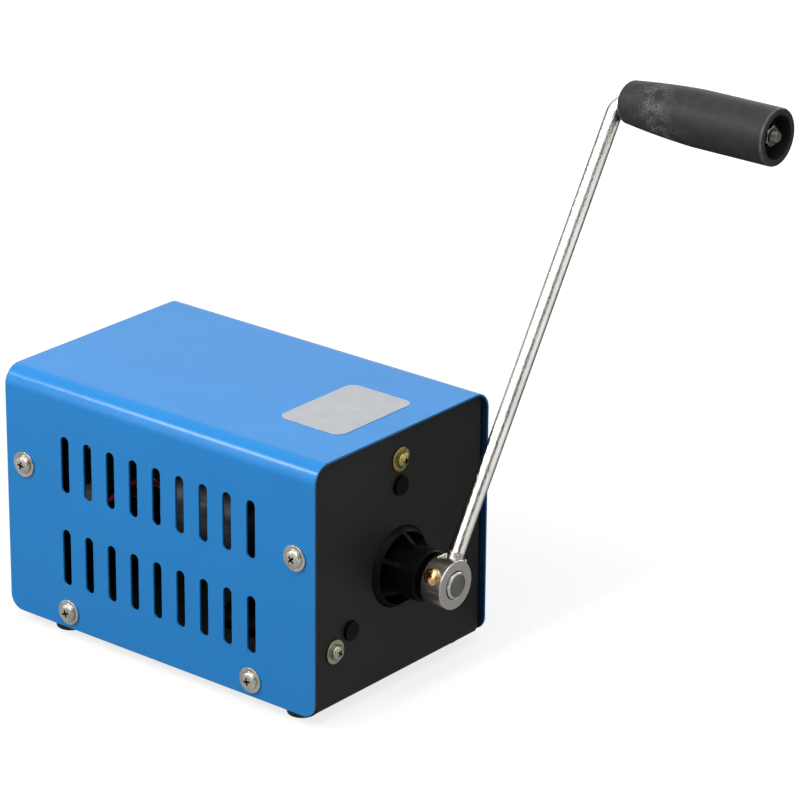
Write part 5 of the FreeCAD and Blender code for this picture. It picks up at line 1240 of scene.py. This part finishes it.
class GENERATOR_OT_stage(bpy.types.Operator):
    """Sets the floor, the lights, the surroundings and the camera"""
    bl_idname = "generator.stage"
    bl_label = "Studio"

    def execute(self, context):
        studio = context.scene.generator_studio
        self.set_camera()
        self.set_floor(tuple(studio.floor_colour))
        self.set_room(studio.sky)
        for name, place, size, watts in (
                ("key_softbox", (-0.1, -0.15, 1.15), (0.8, 0.8), studio.key_power),
                ("side_softbox", (-0.40, -0.03, 0.48), (0.45, 0.45), studio.side_power),
                ("rim_softbox", (-0.63, 0.65, 0.765), (0.18, 0.18), studio.rim_power),
                ("rim_strip", (-0.75, 0.6, 0.34), (0.12, 0.5), studio.rim_power * 0.18),
                ("fill_softbox", (1.0, 0.05, 0.45), (0.6, 0.6), studio.fill_power)):
            self.set_light(name, place, size, watts)
        context.scene.view_settings.view_transform = "Standard"
        return {"FINISHED"}

    def set_camera(self):
        """A long lens that looks down on the case's front left corner."""
        lens = bpy.data.cameras.new("camera")
        lens.lens = 178.9
        lens.sensor_width = 36.0
        lens.clip_end = 50.0
        camera = bpy.data.objects.new("camera", lens)
        right = (0.63342, -0.77377, 0.00805, 0.0)
        up = (0.28227, 0.24073, 0.92864, 0.0)
        back = (-0.72049, -0.58595, 0.37090, 0.0)
        place = (-0.9949, -0.8807, 0.6212, 1.0)
        camera.matrix_world = Matrix((right, up, back, place)).transposed()
        bpy.context.scene.collection.objects.link(camera)
        bpy.context.scene.camera = camera

    def set_floor(self, colour):
        """A wide plain floor that is white where no shadow falls on it."""
        shape = bmesh.new()
        bmesh.ops.create_circle(shape, cap_ends=True, segments=96, radius=6.0)
        floor = from_bmesh("floor", shape)
        material = bpy.data.materials.new("plain_pale_floor")
        material.use_nodes = True
        tree = material.node_tree
        tree.nodes.clear()
        put, num = partial(add, tree), partial(number, tree)
        soft = partial(put, "ShaderNodeMapRange", interpolation_type="SMOOTHSTEP")
        rays = put("ShaderNodeLightPath").outputs
        where = put("ShaderNodeTexCoord").outputs["Object"]
        away = put("ShaderNodeVectorMath", {0: where}, operation="LENGTH")
        seen = num("MAXIMUM", rays["Is Camera Ray"], rays["Is Transmission Ray"])
        level = put("ShaderNodeMapRange", {"Value": away, "From Min": 0.15, "From Max": 0.6,
                                           "To Min": 0.79, "To Max": 0.97})
        # what metal mirrors: the same floor, with painted shade close to the case
        mirrored = put("ShaderNodeMapRange", {"Value": away, "From Min": 0.18, "From Max": 0.75,
                                              "To Min": 0.32, "To Max": 0.9})
        # and a patch of floor beside the crank, painted dark for glossy rays only, a painted reflection that
        # draws the far edge of the bright rod
        beside = put("ShaderNodeVectorMath", {0: where, 1: (0.06, -0.09, 0.0)}, operation="SUBTRACT")
        way = put("ShaderNodeVectorMath", {0: beside}, operation="NORMALIZE")
        toward = put("ShaderNodeVectorMath", {0: way, 1: (0.97, 0.242, 0.0)}, operation="DOT_PRODUCT")
        painted_dark_reflection = soft({"Value": toward, "From Min": 0.5, "From Max": 0.6, "To Min": 1.0, "To Max": 0.1})
        glossy = num("MULTIPLY", rays["Is Glossy Ray"], num("MULTIPLY", mirrored, painted_dark_reflection))
        hidden = num("MULTIPLY", rays["Is Glossy Ray"], num("SUBTRACT", 1.0, painted_dark_reflection))
        dimmed = put("ShaderNodeMix", {0: hidden, 6: colour, 7: BLACK}, data_type="RGBA")
        matt = put("ShaderNodeBsdfDiffuse", {"Color": dimmed})
        lift = num("MULTIPLY_ADD", seen, level, glossy)
        glow = put("ShaderNodeEmission", {"Color": WHITE, "Strength": lift})
        both = put("ShaderNodeAddShader", {0: matt, 1: glow})
        # the crank is longer than its shaft is high, so the case stands at the edge of a bench: in front of
        # it the floor is clear to the eye and to the lamps, and from below it is clear all over
        side = put("ShaderNodeSeparateXYZ", {"Vector": where}).outputs["Y"]
        beyond = soft({"Value": side, "From Min": PANEL_FRONT - 0.0055, "From Max": PANEL_FRONT - 0.0165})
        open_rays = num("MAXIMUM", seen, rays["Is Shadow Ray"])
        below = put("ShaderNodeNewGeometry").outputs["Backfacing"]
        clear = num("MAXIMUM", num("MULTIPLY", beyond, open_rays), below)
        surface = put("ShaderNodeMixShader", {0: clear, 1: both, 2: put("ShaderNodeBsdfTransparent")})
        put("ShaderNodeOutputMaterial", {"Surface": surface})
        floor.data.materials.append(material)

    def set_room(self, strength):
        """Soft light from all sides, and plain white where it is seen or mirrored."""
        world = bpy.data.worlds.new("room")
        bpy.context.scene.world = world
        world.use_nodes = True
        tree = world.node_tree
        tree.nodes.clear()
        put, num = partial(add, tree), partial(number, tree)
        rays = put("ShaderNodeLightPath").outputs
        seen = num("MAXIMUM", rays["Is Camera Ray"], rays["Is Transmission Ray"])
        way = put("ShaderNodeTexCoord").outputs["Generated"]
        # what metal mirrors: a white room with two dark screens, one in front and one behind
        shade = 0.0
        for aim, narrow, wide in (((-0.56, -0.78, 0.27), 0.965, 0.925), ((0.141, 0.985, 0.1), 0.985, 0.955)):
            toward = put("ShaderNodeVectorMath", {0: way, 1: Vector(aim).normalized()},
                         operation="DOT_PRODUCT")
            screen = put("ShaderNodeMapRange", {"Value": toward, "From Min": wide, "From Max": narrow},
                         interpolation_type="SMOOTHSTEP")
            shade = num("MAXIMUM", shade, screen)
        mirror = put("ShaderNodeMapRange", {"Value": shade, "To Min": 1.0, "To Max": 0.04})
        unseen = put("ShaderNodeMix", {0: rays["Is Glossy Ray"], 2: strength, 3: mirror}, data_type="FLOAT")
        level = put("ShaderNodeMix", {0: seen, 2: unseen, 3: 1.0}, data_type="FLOAT")
        sky = put("ShaderNodeBackground", {"Color": WHITE, "Strength": level})
        put("ShaderNodeOutputWorld", {"Surface": sky})

    def set_light(self, name, place, size, watts):
        """A soft rectangular light that looks at the middle of the case."""
        lamp = bpy.data.lights.new(name, "AREA")
        lamp.shape = "RECTANGLE"
        lamp.size, lamp.size_y = size
        lamp.energy = watts
        made = bpy.data.objects.new(name, lamp)
        place = Vector(place)
        aim = (Vector((0.0, 0.0, 0.06)) - place).to_track_quat("-Z", "Y")
        made.matrix_world = Matrix.Translation(place) @ aim.to_matrix().to_4x4()
        bpy.context.scene.collection.objects.link(made)


STEPS = (GENERATOR_OT_materials, GENERATOR_OT_cover, GENERATOR_OT_label, GENERATOR_OT_chassis,
         GENERATOR_OT_nose, GENERATOR_OT_screws, GENERATOR_OT_feet, GENERATOR_OT_shaft, GENERATOR_OT_arm,
         GENERATOR_OT_grip, GENERATOR_OT_inside, GENERATOR_OT_stage)


class GENERATOR_PT_panel(bpy.types.Panel):
    """Lists the generator's pieces and its studio"""
    bl_idname = "GENERATOR_PT_panel"
    bl_label = "Hand crank generator"
    bl_space_type = "VIEW_3D"
    bl_region_type = "UI"
    bl_category = "Generator"

    def draw(self, context):
        for step in STEPS:
            self.layout.operator(step.bl_idname)
        for name, group in SETTINGS.items():
            box = self.layout.box()
            for key in group.__annotations__:
                box.prop(getattr(context.scene, name), key)


CLASSES = tuple(SETTINGS.values()) + STEPS + (GENERATOR_PT_panel,)


def register():
    """Registers the classes and puts the settings on the scene."""
    for one in CLASSES:
        bpy.utils.register_class(one)
    for name, group in SETTINGS.items():
        setattr(bpy.types.Scene, name, PointerProperty(type=group))


def unregister():
    """Takes the settings and the classes away again."""
    for name in SETTINGS:
        delattr(bpy.types.Scene, name)
    for one in reversed(CLASSES):
        bpy.utils.unregister_class(one)


def main():
    """Makes every piece in order."""
    register()
    bpy.ops.generator.materials()
    bpy.ops.generator.cover()
    bpy.ops.generator.label()
    bpy.ops.generator.chassis()
    bpy.ops.generator.nose()
    bpy.ops.generator.screws()
    bpy.ops.generator.feet()
    bpy.ops.generator.shaft()
    bpy.ops.generator.arm()
    bpy.ops.generator.grip()
    bpy.ops.generator.inside()
    bpy.ops.generator.stage()


if __name__ == "__main__":
    main()
